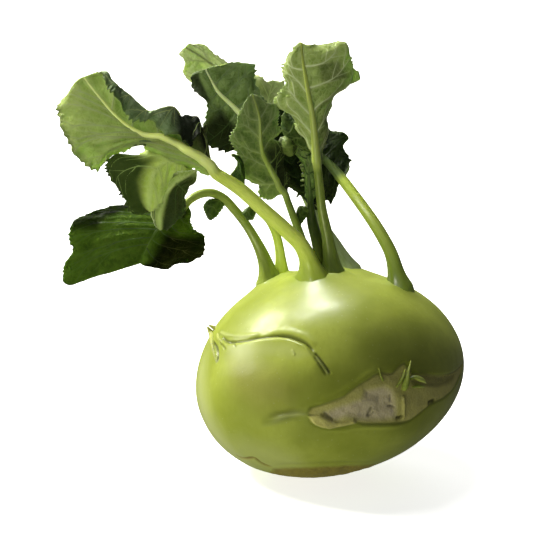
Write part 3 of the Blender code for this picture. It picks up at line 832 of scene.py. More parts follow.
@dataclass(frozen=True)
class StudioPaper:
    """Matt white background paper, with the faint unevenness of laid fibres."""

    colour: str = "fbfbfa"
    fibre: str = "f6f6f4"
    fibre_mm: float = 40.0
    roughness: float = 0.9
    glow: float = 0.8

    def build(self) -> bpy.types.Material:
        """Builds the material."""
        made, tree, shader = start_finish("studio_paper")
        inputs = {"Vector": in_millimetres(tree), "Scale": 1 / self.fibre_mm, "Detail": 2.0}
        fibres = add_node(tree, "ShaderNodeTexNoise", inputs=inputs).outputs["Fac"]
        values = {
            "Base Color": painted(tree, self.colour, [(fibres, self.fibre)]),
            "Roughness": self.roughness,
            "Specular IOR Level": 0.1,
            "Emission Color": linear(self.colour),
            "Emission Strength": self.glow,
        }
        feed(tree, shader, values)
        return made


# -------------------------------------------------------------------------------------------------- bulb


@dataclass(frozen=True)
class Crease:
    """A line on the front of the bulb, given as (x, z) points from left to right.

    A groove has a depth, a ridge a height. A step stands its height above the skin on the right of the
    route, seen from outside, and dies out over its reach.
    """

    kind: CreaseKind
    route: tuple[FlatPoint, ...]
    width: float
    height: float
    tint: Tint | None = None
    strength: float = 1.0
    tint_width: float = 1.0
    ends: float = 0.15
    reach: float = 10.0


@dataclass(frozen=True)
class Swelling:
    """A broad soft rise of the bulb's front round an (x, z) centre."""

    centre: FlatPoint
    spread: FlatPoint
    height: float


@dataclass(frozen=True)
class Patch:
    """An area on the front of the bulb inside a closed (x, z) outline."""

    outline: tuple[FlatPoint, ...]
    tint: Tint
    strength: float = 1.0
    soft: float = 0.6
    height: float = 0.0
    lumps: float = 0.0
    lump_size: float = 3.0


GROOVE, RIDGE, STEP = CreaseKind

ARCH = (
    (-31.5, 55), (-29.5, 54.6), (-26.5, 55.3), (-22.5, 56.6), (-17, 58.5), (-13, 59.5), (-10, 60), (-7, 60),
    (-4, 59.4), (-1, 58.4), (0.8, 57), (2, 55.6), (4, 53.6), (5.8, 51.4), (7.4, 49),
)
ARCH_BACK = ((-32.5, 55.7), (-30, 56.1), (-26.3, 57), (-21, 58.4), (-16.8, 59.6))
SCAR_TOP = (
    (-0.5, 35.6), (0.5, 37.2), (4.4, 38.6), (8, 40), (12.4, 41.8), (15, 43.8), (18.4, 46), (21.4, 47.5),
    (23.5, 48.7), (26.4, 48.9), (29.6, 48.6), (30.8, 49.5), (32, 50.5), (33.6, 51.3), (36, 48.8),
    (37.4, 47.5), (41.6, 46.4), (47.5, 44.4), (52.5, 43.4), (56, 43.2), (58, 43.4),
)
SCAR_FOOT = (
    (0.2, 32.2), (1.9, 31.1), (4.4, 30), (7.3, 29.5), (10.8, 30.3), (14.3, 31), (16.8, 31.7), (19.7, 31.1),
    (25.2, 30.6), (30.7, 30.1), (34.4, 29.8), (36.2, 30), (40, 31.8), (43, 33.5), (45.3, 34.7),
    (47.7, 34.7), (50.6, 35.2), (54, 36.9), (57.2, 40.6),
)
LENS_FOOT = ((36, 45.5), (39, 43.6), (42.3, 42.7), (46, 41.7), (49, 41), (52, 40.9), (54.8, 41.4))
RAW_FLESH = (
    (4.8, 35.7), (9, 37.6), (14.2, 39.3), (18.5, 40.9), (19.5, 43.7), (24.2, 44.3), (26.7, 44.7),
    (29.7, 42.8), (30.7, 40.1), (31.5, 35.9), (31.3, 32), (28, 31.4), (23, 31.6), (18.5, 32.2),
    (15.5, 33.3), (13.2, 33.8), (10.8, 32.7), (8.3, 32.3), (5.4, 34.2),
)
# The DARK tints along grooves and cuts are painted shade in these recesses.
FRONT_CREASES = (
    Crease(STEP, ARCH, 1.8, 1.0, reach=5.0, ends=0.12),
    Crease(RIDGE, ((-16, 59.9), (-11, 61.4), (-6, 61.4), (-1, 60.2), (3, 57.6)), 1.3, 0.3),
    Crease(GROOVE, ARCH[:12], 0.45, 0.55, Tint.DARK, 0.7, 1.1, ends=0.05),
    Crease(GROOVE, ARCH[5:12], 0.6, 0.4, Tint.DARK, 0.7, 1.1, ends=0.25),
    Crease(RIDGE, ARCH_BACK, 0.7, 0.5, Tint.PALE, 0.5, ends=0.1),
    Crease(GROOVE, ((1.5, 56.2), (4.1, 53.6), (5.9, 51.4), (7.6, 48.9)), 0.35, 0.5, Tint.DARK, 0.75, 1.2),
    Crease(GROOVE, ((1.6, 54.8), (3.4, 52.3), (4.8, 50.5), (6.2, 48.5)), 0.3, 0.4, Tint.DARK, 0.6, 1.2),
    Crease(RIDGE, ((2.2, 55), (3.8, 53), (5.4, 51), (6.9, 48.7)), 0.3, 0.3, Tint.PALE, 0.7),
    Crease(
        GROOVE, ((-35.1, 52.1), (-33.5, 51.4), (-32.6, 49.8), (-32.8, 48), (-33.7, 46.4)), 0.55, 0.8,
        Tint.DARK, 0.9, 1.1,
    ),
    Crease(GROOVE, ((-32.7, 53.4), (-30.7, 52.8), (-29.2, 51.9)), 0.35, 0.4, Tint.DARK, 0.6),
    Crease(GROOVE, ((-29.3, 54.2), (-26.3, 54.5), (-25.6, 53.5)), 0.35, 0.4, Tint.DARK, 0.6),
    Crease(RIDGE, ((-6.1, 56.2), (-5.3, 55.3), (-5.1, 54.4)), 0.3, 0.25, Tint.PALE, 0.7),
    Crease(
        GROOVE, ((-16.8, 30), (-13.9, 32.3), (-10.3, 34.2), (-5.1, 35.7), (0.3, 37.2)), 1.1, 0.75,
        Tint.DARK, 0.4, 1.3, ends=0.4,
    ),
    Crease(
        GROOVE, ((-18.2, 28.9), (-12.1, 31.3), (-6.8, 33.1), (-0.5, 34.4)), 1.0, 0.65, Tint.DARK, 0.35, 1.3,
        ends=0.4,
    ),
    Crease(RIDGE, ((-15, 29.9), (-9, 33.4), (-3, 35.1), (1.5, 35.8)), 0.9, 0.6, Tint.PALE, 0.55, ends=0.35),
    Crease(GROOVE, SCAR_TOP, 0.5, 0.4, Tint.DARK, 0.3, 1.0, ends=0.03),
    Crease(RIDGE, ((0.5, 38.4), (8, 41.4), (15, 45.2), (21.4, 49), (26, 50.4)), 1.2, 0.25, ends=0.2),
    Crease(GROOVE, SCAR_FOOT, 0.35, 0.35, Tint.DARK, 0.3, 0.9, ends=0.03),
    Crease(RIDGE, ((4.4, 28.8), (10.8, 29), (18, 29.9), (27, 29.3), (35, 28.7)), 0.9, 0.35, ends=0.2),
    Crease(GROOVE, LENS_FOOT, 0.8, 0.45, Tint.DARK, 0.32, 1.1, ends=0.05),
    Crease(GROOVE, ((4.8, 35.7), (6.5, 34.4), (8.6, 32.7)), 0.45, 0.4, Tint.DARK, 0.5),
    Crease(GROOVE, ((22.5, 37.4), (21.7, 35.5), (20.7, 33.4)), 0.5, 0.5, Tint.DARK, 0.55),
    Crease(GROOVE, ((20.7, 33.6), (22.2, 34.2), (23.4, 35.6)), 0.4, 0.35, Tint.DARK, 0.4),
    Crease(GROOVE, ((31, 31.9), (32.8, 31.9), (33.9, 32.5)), 0.7, 0.8, Tint.DARK, 0.75),
    Crease(GROOVE, ((43.3, 34.8), (45, 35.4), (46.5, 35.3)), 0.95, 0.8, Tint.DARK, 0.8),
    Crease(RIDGE, ((33.9, 30.3), (34, 33.6), (33.8, 37.2), (33.3, 40.8)), 0.45, 0.8, Tint.CORK, 0.9),
    Crease(GROOVE, ((27.9, 36.8), (29.4, 36.9), (30.8, 36)), 0.3, 0.4, Tint.DARK, 0.6),
    Crease(GROOVE, ((28.9, 41.5), (29.1, 39.7), (29.3, 38.1)), 0.3, 0.4, Tint.DARK, 0.5),
    Crease(
        GROOVE,
        (
            (-26.8, 12.9), (-25, 11.4), (-22.8, 11.7), (-19.8, 13.3), (-17.6, 11.6), (-14.7, 10.1),
            (-12.5, 10),
        ),
        0.65, 0.7, Tint.BROWN, 0.85, 1.3,
    ),
    Crease(
        GROOVE, ((-13.3, 11.1), (-8.5, 12.6), (-1.3, 13.7), (4, 14.1), (13.1, 14.2), (24.4, 12.5)), 1.2,
        0.08, Tint.DARK, 0.14, 0.8,
    ),
)
FRONT_PATCHES = (
    Patch(SCAR_TOP + tuple(reversed(SCAR_FOOT)), Tint.CORK, 0.93, 0.9, -0.4, 0.2, 5.0),
    Patch(RAW_FLESH, Tint.FLESH, 0.9, 2.2, -0.6, 0.35, 4.5),
    Patch(
        (
            (-0.5, 34.4), (3.7, 35.1), (6.2, 33.6), (10, 32), (13.2, 32.4), (15.7, 33.2), (16.8, 31.7),
            (14.3, 31), (10.8, 30.3), (7.3, 29.5), (4.4, 30), (1.9, 31.1),
        ),
        Tint.PALE, 0.45, 0.5, 0.9, 0.2, 3.0,
    ),
    # painted shade under the side shoot
    Patch(
        (
            (36, 48.8), (41.6, 46.4), (47.5, 44.2), (55.6, 41.8), (52, 40.9), (46, 41.7), (42.3, 42.7),
            (37.5, 44.5),
        ),
        Tint.DARK, 0.42, 0.9, -0.5, 0.2, 3.0,
    ),
    Patch(
        (
            (29.5, 44), (31, 49.3), (33.5, 51), (35.6, 48.5), (38.5, 45.5), (42, 42.5), (37, 41.5),
            (33, 41.5),
        ),
        Tint.GREEN, 0.75, 1.2,
    ),
    Patch(
        (
            (-13, 9.2), (-8.5, 10.6), (-1.3, 11.8), (5, 12.2), (13.1, 12.4), (19, 11.4), (25, 10), (24, -2),
            (-16, -2),
        ),
        Tint.BROWN, 0.75, 2.4, -0.05, 0.3, 3.0,
    ),
    # painted bounce light: the left edge and lower left made paler
    Patch(
        (
            (-44, 56), (-36, 50), (-37, 40), (-35, 30), (-28, 20), (-20, 13), (-14, 6), (-30, 4), (-44, 18),
            (-48, 36),
        ),
        Tint.PALE, 0.85, 10.0,
    ),
    # painted bounce light on the lower front
    Patch(((-24, 24), (-12, 22), (-2, 18), (0, 12), (-14, 6), (-28, 8), (-36, 20)), Tint.PALE, 0.45, 8.0),
    # painted shade over the upper right
    Patch(((14, 62), (30, 65), (46, 61), (54, 53), (50, 47), (36, 50), (18, 53)), Tint.DARK, 0.2, 9.0),
    # partly an olive-brown tint of the front-left lobe and partly painted shade that darkens it
    Patch(
        ((-29, 50), (-20, 53), (-8, 51), (-3, 44), (-6, 36), (-18, 33), (-28, 38)), Tint.BROWN, 0.32, 9.0,
    ),
    Patch(
        ((-30, 53), (-17, 57), (-6, 58.5), (1, 55), (-4, 53), (-15, 53.5), (-25, 50)), Tint.PALE, 0.35, 3.0,
    ),
)
FRONT_SWELLINGS = (
    Swelling((-16, 47), (17, 9), 1.6),
    Swelling((6, 66), (20, 6), 0.5),
    Swelling((30, 25), (14, 6), 0.6),
)


@dataclass
class Relief:
    """The bulb's points while they are shaped: their outward directions, rise and painted masks."""

    points: np.ndarray
    outward: np.ndarray
    lift: np.ndarray
    masks: dict[Tint, np.ndarray]
    front: np.ndarray

    def raise_mask(self, tint: Tint, near: np.ndarray, values: np.ndarray) -> None:
        """Paints some points where the new values are stronger."""
        self.masks[tint][near] = np.maximum(self.masks[tint][near], values)


@dataclass
class Bulb:
    """The swollen stem: a leaning, flattened ball with scars, creases and the fillets under the stalks."""

    width: float = 100.4
    depth: float = 97.4
    waist: float = 37.2
    top: float = 39.0
    bottom: float = 38.4
    centre_x: float = 8.6
    lean: float = 0.138
    sag: float = 0.0025
    columns: int = 400
    rings: int = 236
    front_turn: float = 78.0
    front_share: float = 0.82
    dense_rings: tuple[float, float] = (-52.0, 42.0)
    ring_share: float = 0.75
    creases: tuple[Crease, ...] = FRONT_CREASES
    patches: tuple[Patch, ...] = FRONT_PATCHES
    swellings: tuple[Swelling, ...] = FRONT_SWELLINGS
    dents: tuple[tuple[float, float, int], ...] = ((0.45, 26.0, 3), (0.12, 9.0, 4))
    fillet_reach: float = 2.3
    # reach and strength of the painted shade round each stalk's base
    foot_reach: float = 2.15
    foot_shade: float = 0.8
    side_fade: float = 16.0
    ground_fade: float = 6.0
    scarred_below: float = 66.0
    finish: BulbSkin = field(default_factory=BulbSkin)

    def shift(self, rise: np.ndarray) -> np.ndarray:
        """Gives how far the bulb leans to the right at a height over its waist."""
        return self.lean * rise - self.sag * rise**2

    def surface(self, directions: np.ndarray) -> np.ndarray:
        """Finds the plain surface in some directions from the bulb's centre."""
        rise = directions[:, 2] * np.where(directions[:, 2] > 0, self.top, self.bottom)
        x = self.centre_x + directions[:, 0] * self.width / 2 + self.shift(rise)
        return np.stack([x, directions[:, 1] * self.depth / 2, np.maximum(self.waist + rise, 0.0)], axis=1)

    def section(self, x: np.ndarray, z: np.ndarray) -> tuple[np.ndarray, np.ndarray]:
        """Gives x and z as parts of the bulb's half width and half height."""
        rise = z - self.waist
        across = (x - self.centre_x - self.shift(rise)) / (self.width / 2)
        return across, rise / np.where(rise > 0, self.top, self.bottom)

    def on_front(self, flat: np.ndarray) -> np.ndarray:
        """Lifts (x, z) points onto the front of the bulb."""
        across, up = self.section(flat[:, 0], flat[:, 1])
        away = np.sqrt(np.maximum(1.0 - across**2 - up**2, 0.0))
        return np.stack([flat[:, 0], -away * self.depth / 2, flat[:, 1]], axis=1)

    def height_over(self, points: np.ndarray) -> np.ndarray:
        """Gives how far points are above the bulb's surface, roughly, in millimetres."""
        across, up = self.section(points[:, 0], points[:, 2])
        away = points[:, 1] / (self.depth / 2)
        return (np.sqrt(across**2 + away**2 + up**2) - 1.0) * self.top

    def turns(self) -> np.ndarray:
        """Spaces the columns round the bulb, in degrees from the front, close on the front."""
        close = int(self.columns * self.front_share)
        front = np.linspace(-self.front_turn, self.front_turn, close, endpoint=False)
        rest = np.linspace(self.front_turn, 360 - self.front_turn, self.columns - close, endpoint=False)
        return np.radians(np.concatenate([front, rest]))

    def slopes(self) -> np.ndarray:
        """Spaces the rings from the base to the crown, in degrees, close over the scars."""
        close = int(self.rings * self.ring_share)
        loose = self.rings - close
        start, end = self.dense_rings
        low = np.linspace(-90, start, loose // 2 + 2)[1:-1]
        high = np.linspace(end, 90, loose - loose // 2 + 2)[1:-1]
        return np.radians(np.concatenate([low, np.linspace(start, end, close), high]))

    def build(self, stalks: list["Stalk"]) -> tuple[np.ndarray, list[np.ndarray], dict[str, np.ndarray]]:
        """Shapes the bulb.

        Args:
            stalks: The stalks that leave its crown.

        Returns:
            The points, the faces and the painted masks.
        """
        turns, slopes = self.turns(), self.slopes()
        turn, slope = np.meshgrid(turns, slopes)
        directions = np.stack(
            [np.sin(turn) * np.cos(slope), -np.cos(turn) * np.cos(slope), np.sin(slope)], axis=-1
        ).reshape(-1, 3)
        directions = np.vstack([directions, [[0, 0, -1], [0, 0, 1]]])
        points = self.surface(directions)
        outward = unit(directions / np.array([self.width / 2, self.depth / 2, self.top]))
        lift = sum(height * soft_noise(points, size, seed) for height, size, seed in self.dents)
        masks = {tint: np.zeros(len(points)) for tint in Tint}
        front = np.flatnonzero((points[:, 1] < 2.0) & (points[:, 2] < self.scarred_below))
        relief = Relief(points, outward, lift, masks, front)
        self.add_fillets(relief, stalks)
        facing = smoothstep(-points[:, 1], 0.0, 20.0)
        for swelling in self.swellings:
            away = (points[:, [0, 2]] - swelling.centre) / swelling.spread
            relief.lift += swelling.height * facing * np.exp(-(away**2).sum(axis=1))
        for patch in self.patches:
            self.lay_patch(patch, relief)
        for crease in self.creases:
            self.cut_crease(crease, relief)
        grounded = smoothstep(points[:, 2], 0.0, self.ground_fade)
        points = points + outward * (relief.lift * grounded)[:, None]
        points[:, 2] = np.maximum(points[:, 2], 0.0)
        masks = {tint.value: values for tint, values in masks.items()}
        return points, self.faces(len(slopes), len(turns)), masks

    def add_fillets(self, relief: Relief, stalks: list["Stalk"]) -> None:
        """Raises the skin where the stalks leave the bulb and paints shade round their bases."""
        rise = np.zeros(len(relief.points))
        dark = relief.masks[Tint.FOOT]
        for stalk in stalks:
            place, radius = stalk.exit(self)
            away = np.linalg.norm(relief.points - place, axis=1) / radius
            rise = np.maximum(rise, stalk.root_rise * np.exp(-((away / self.fillet_reach) ** 2)))
            np.maximum(dark, self.foot_shade * np.exp(-((away / self.foot_reach) ** 4)), out=dark)
        relief.lift += rise

    def lay_patch(self, patch: Patch, relief: Relief) -> None:
        """Adds one patch's height and colour to the points on the front."""
        outline = np.asarray(patch.outline, float)
        route = self.on_front(np.vstack([outline, outline[:1]]))
        reach = 3 * patch.soft + 1
        low, high = outline.min(axis=0) - reach, outline.max(axis=0) + reach
        flat = relief.points[relief.front][:, [0, 2]]
        near = relief.front[((flat > low) & (flat < high)).all(axis=1)]
        points = relief.points[near]
        distance, _, _ = measure(points, route, relief.outward[near])
        distance = np.where(inside(points[:, [0, 2]], outline), distance, -distance)
        cover = smoothstep(distance, -patch.soft * 0.5, patch.soft)
        cover = cover * smoothstep(-points[:, 1], -1.0, self.side_fade)
        lumps = soft_noise(points, patch.lump_size, 11) + 0.5 * soft_noise(points, patch.lump_size * 0.45, 12)
        relief.lift[near] += cover * (patch.height + patch.lumps * lumps)
        relief.raise_mask(patch.tint, near, cover * patch.strength)

    def cut_crease(self, crease: Crease, relief: Relief) -> None:
        """Adds one crease's height and colour to the points on the front."""
        flat = smooth_route(np.asarray(crease.route, float) @ np.array([[1, 0, 0], [0, 0, 1]]), 0.7)
        route = self.on_front(flat[:, [0, 2]])
        reach = 3 * crease.width * max(crease.tint_width, 1.0) + 1
        if crease.kind is STEP:
            reach += 2 * crease.reach
        low, high = route.min(axis=0) - reach, route.max(axis=0) + reach
        front = relief.points[relief.front]
        near = relief.front[((front > low) & (front < high)).all(axis=1)]
        points = relief.points[near]
        distance, along, side = measure(points, route, relief.outward[near])
        fade = smoothstep(along, 0.0, crease.ends) * smoothstep(1.0 - along, 0.0, crease.ends)
        if crease.kind is STEP:
            rise = smoothstep(distance, 0.0, crease.width) * np.exp(-((distance / crease.reach) ** 2))
            relief.lift[near] += crease.height * rise * (side > 0) * fade
            return
        width = crease.width * (1.0 + 0.3 * soft_noise(points, 2.2, 21))
        height = crease.height if crease.kind is RIDGE else -crease.height
        relief.lift[near] += height * fade * np.exp(-((distance / width) ** 2))
        if crease.tint:
            cover = np.exp(-((distance / (width * crease.tint_width)) ** 2))
            relief.raise_mask(crease.tint, near, crease.strength * fade * cover)

    @staticmethod
    def faces(rings: int, columns: int) -> list[np.ndarray]:
        """Lists the faces between the rings and the fans at both poles."""
        row, column = np.meshgrid(np.arange(rings - 1), np.arange(columns), indexing="ij")
        first, second = row * columns + column, row * columns + (column + 1) % columns
        sides = np.stack([first, second, second + columns, first + columns], axis=-1).reshape(-1, 4)
        low = np.arange(columns)
        after = (low + 1) % columns
        last = (rings - 1) * columns
        south = np.stack([after, low, np.full(columns, rings * columns)], axis=1)
        north = np.stack([last + low, last + after, np.full(columns, rings * columns + 1)], axis=1)
        return [sides, south, north]

    def dress(self, stalks: list["Stalk"]) -> None:
        """Builds the bulb and registers it."""
        bulb = plain_mesh("kohlrabi_bulb", *self.build(stalks))
        bulb.data.materials.append(self.finish.build())
        register(bulb, Slot.SKIN, "bulb")


# ------------------------------------------------------------------------------------------------ leaves


@dataclass(frozen=True)
class BladeShape:
    """A blade's midrib and its two sides, as the CAD part has them.

    Each row of a side is (place along the midrib, counted in midrib points), (point halfway out),
    (point on the margin). The right side is on the right when the upper face is towards the eye and the
    tip points up.
    """

    rib: tuple[Point, ...]
    left: tuple[Row, ...]
    right: tuple[Row, ...]

    def middle(self, at: np.ndarray, across: np.ndarray) -> np.ndarray:
        """Finds the blade's middle surface.

        Args:
            at: Places along the midrib.
            across: Places across, from -1 at the left margin to 1 at the right one.

        Returns:
            Points in rows along the midrib and columns across it.
        """
        spine = smooth_curve(np.arange(len(self.rib)), self.rib, at)[:, None]
        sides = {}
        for name, rows in (("left", self.left), ("right", self.right)):
            places, halfway, margin = zip(*rows)
            sides[name] = [smooth_curve(places, values, at)[:, None] for values in (halfway, margin)]
        out = np.abs(across)[None, :, None]
        lefts, rights = [
            spine * (1 - out) * (1 - 2 * out) + halfway * 4 * out * (1 - out) + margin * out * (2 * out - 1)
            for halfway, margin in (sides["left"], sides["right"])
        ]
        return np.where(across[None, :, None] < 0, lefts, rights)


@dataclass
class Stalk:
    """A leaf stalk that leaves the bulb with a flared foot and runs on as the blade's midrib."""

    name: str
    route: tuple[Section, ...]
    finish: StalkSkin
    blade: BladeShape
    rib_start: float = 1.3
    rib_tip: float = 0.3
    rib_sink: float = 0.55
    flare: float = 0.85
    flare_length: float = 4.2
    # length over which the painted shade at the foot fades up the stalk
    foot: float = 11.0
    root_rise: float = 2.2
    step: float = 0.7
    sides: int = 24
    ribs: float = 7.0
    rib_height: float = 0.035

    def exit(self, bulb: Bulb) -> tuple[np.ndarray, float]:
        """Finds where the stalk leaves the bulb and its radius there."""
        route = smooth_route(self.route, 0.5)
        heights = bulb.height_over(route[:, :3])
        at = int(np.argmax(heights > 0))
        return route[at, :3], float(route[at, 3])

    def lay(self, bulb: Bulb, surface: "BladeGrid") -> np.ndarray:
        """Lays the stalk's route, with its radius and its tone from stalk to midrib; the tone falls below
        zero near the bulb, where it carries the painted shade at the foot.

        Args:
            bulb: The bulb that it leaves.
            surface: The finished blade that it carries.

        Returns:
            Rows of x, y, z, radius and tone.
        """
        route = smooth_route(self.route, self.step)
        heights = bulb.height_over(route[:, :3])
        at = int(np.argmax(heights > 0))
        along = lengths_along(route)
        swell = np.exp(-np.maximum(along - along[at], 0.0) / self.flare_length)
        route[:, 3] *= 1.0 + self.flare * swell
        # painted shade at the foot, stored as a negative tone
        foot = np.exp(-((np.maximum(along - along[at], 0.0) / self.foot) ** 2))
        route = np.column_stack([route, -foot])
        places = np.linspace(0.35, len(self.blade.rib) - 1.02, 60)
        part = (places - places[0]) / (places[-1] - places[0])
        radius = self.rib_tip + (self.rib_start - self.rib_tip) * (1 - part) ** 1.3
        spot, normal = surface.read(np.zeros(len(places)), places)
        sunk = spot - normal * (radius * self.rib_sink)[:, None]
        rib = np.column_stack([sunk, radius, np.ones(len(places))])
        even = smooth_route(np.vstack([route[:-2], rib])[::2], self.step)
        even[:, 3] = np.maximum(even[:, 3], self.rib_tip * 0.6)
        even[:, 4] = np.clip(even[:, 4], -1.0, 1.0)
        return even

    def dress(self, bulb: Bulb, surface: "BladeGrid", sweep: bpy.types.NodeTree) -> None:
        """Builds the stalk and registers it."""
        tubes = [self.lay(bulb, surface)]
        piece = swept(
            "stalk_" + self.name, tubes, sweep, self.finish.build(), self.sides, self.ribs, self.rib_height
        )
        register(piece, Slot.STALK, "stem_" + self.name)


@dataclass
class BladeGrid:
    """A blade's finished middle surface, read by place along and across."""

    places: np.ndarray
    across: np.ndarray
    points: np.ndarray
    normals: np.ndarray

    def read(self, across: np.ndarray, places: np.ndarray) -> tuple[np.ndarray, np.ndarray]:
        """Reads points and upward normals of the surface between its grid points."""
        row = np.interp(places, self.places, np.arange(len(self.places)))
        column = np.interp(across, self.across, np.arange(len(self.across)))
        r0 = np.clip(np.floor(row).astype(int), 0, len(self.places) - 2)
        c0 = np.clip(np.floor(column).astype(int), 0, len(self.across) - 2)
        fr, fc = (row - r0)[:, None], (column - c0)[:, None]
        found = []
        for grid in (self.points, self.normals):
            found.append(
                grid[r0, c0] * (1 - fr) * (1 - fc)
                + grid[r0 + 1, c0] * fr * (1 - fc)
                + grid[r0, c0 + 1] * (1 - fr) * fc
                + grid[r0 + 1, c0 + 1] * fr * fc
            )
        return found[0], unit(found[1])


def upward(points: np.ndarray) -> np.ndarray:
    """Finds the upward normals of a blade's grid."""
    return unit(np.cross(np.gradient(points, axis=1), np.gradient(points, axis=0)))


@dataclass(frozen=True)
class FoldShade:
    """A deep fold of a blade with painted shade: ranges of places across and along it where the colour is
    darkened as shade.
    """

    across: FlatPoint
    along: FlatPoint
    strength: float = 0.85

    def cover(self, across: np.ndarray, places: np.ndarray) -> np.ndarray:
        """Covers the fold with soft edges."""
        cover = self.strength
        for values, (low, high) in ((across, self.across), (places, self.along)):
            soft = 0.15 * (high - low)
            cover = cover * smoothstep(values, low - soft, low + soft)
            cover = cover * smoothstep(-values, -high - soft, soft - high)
        return cover


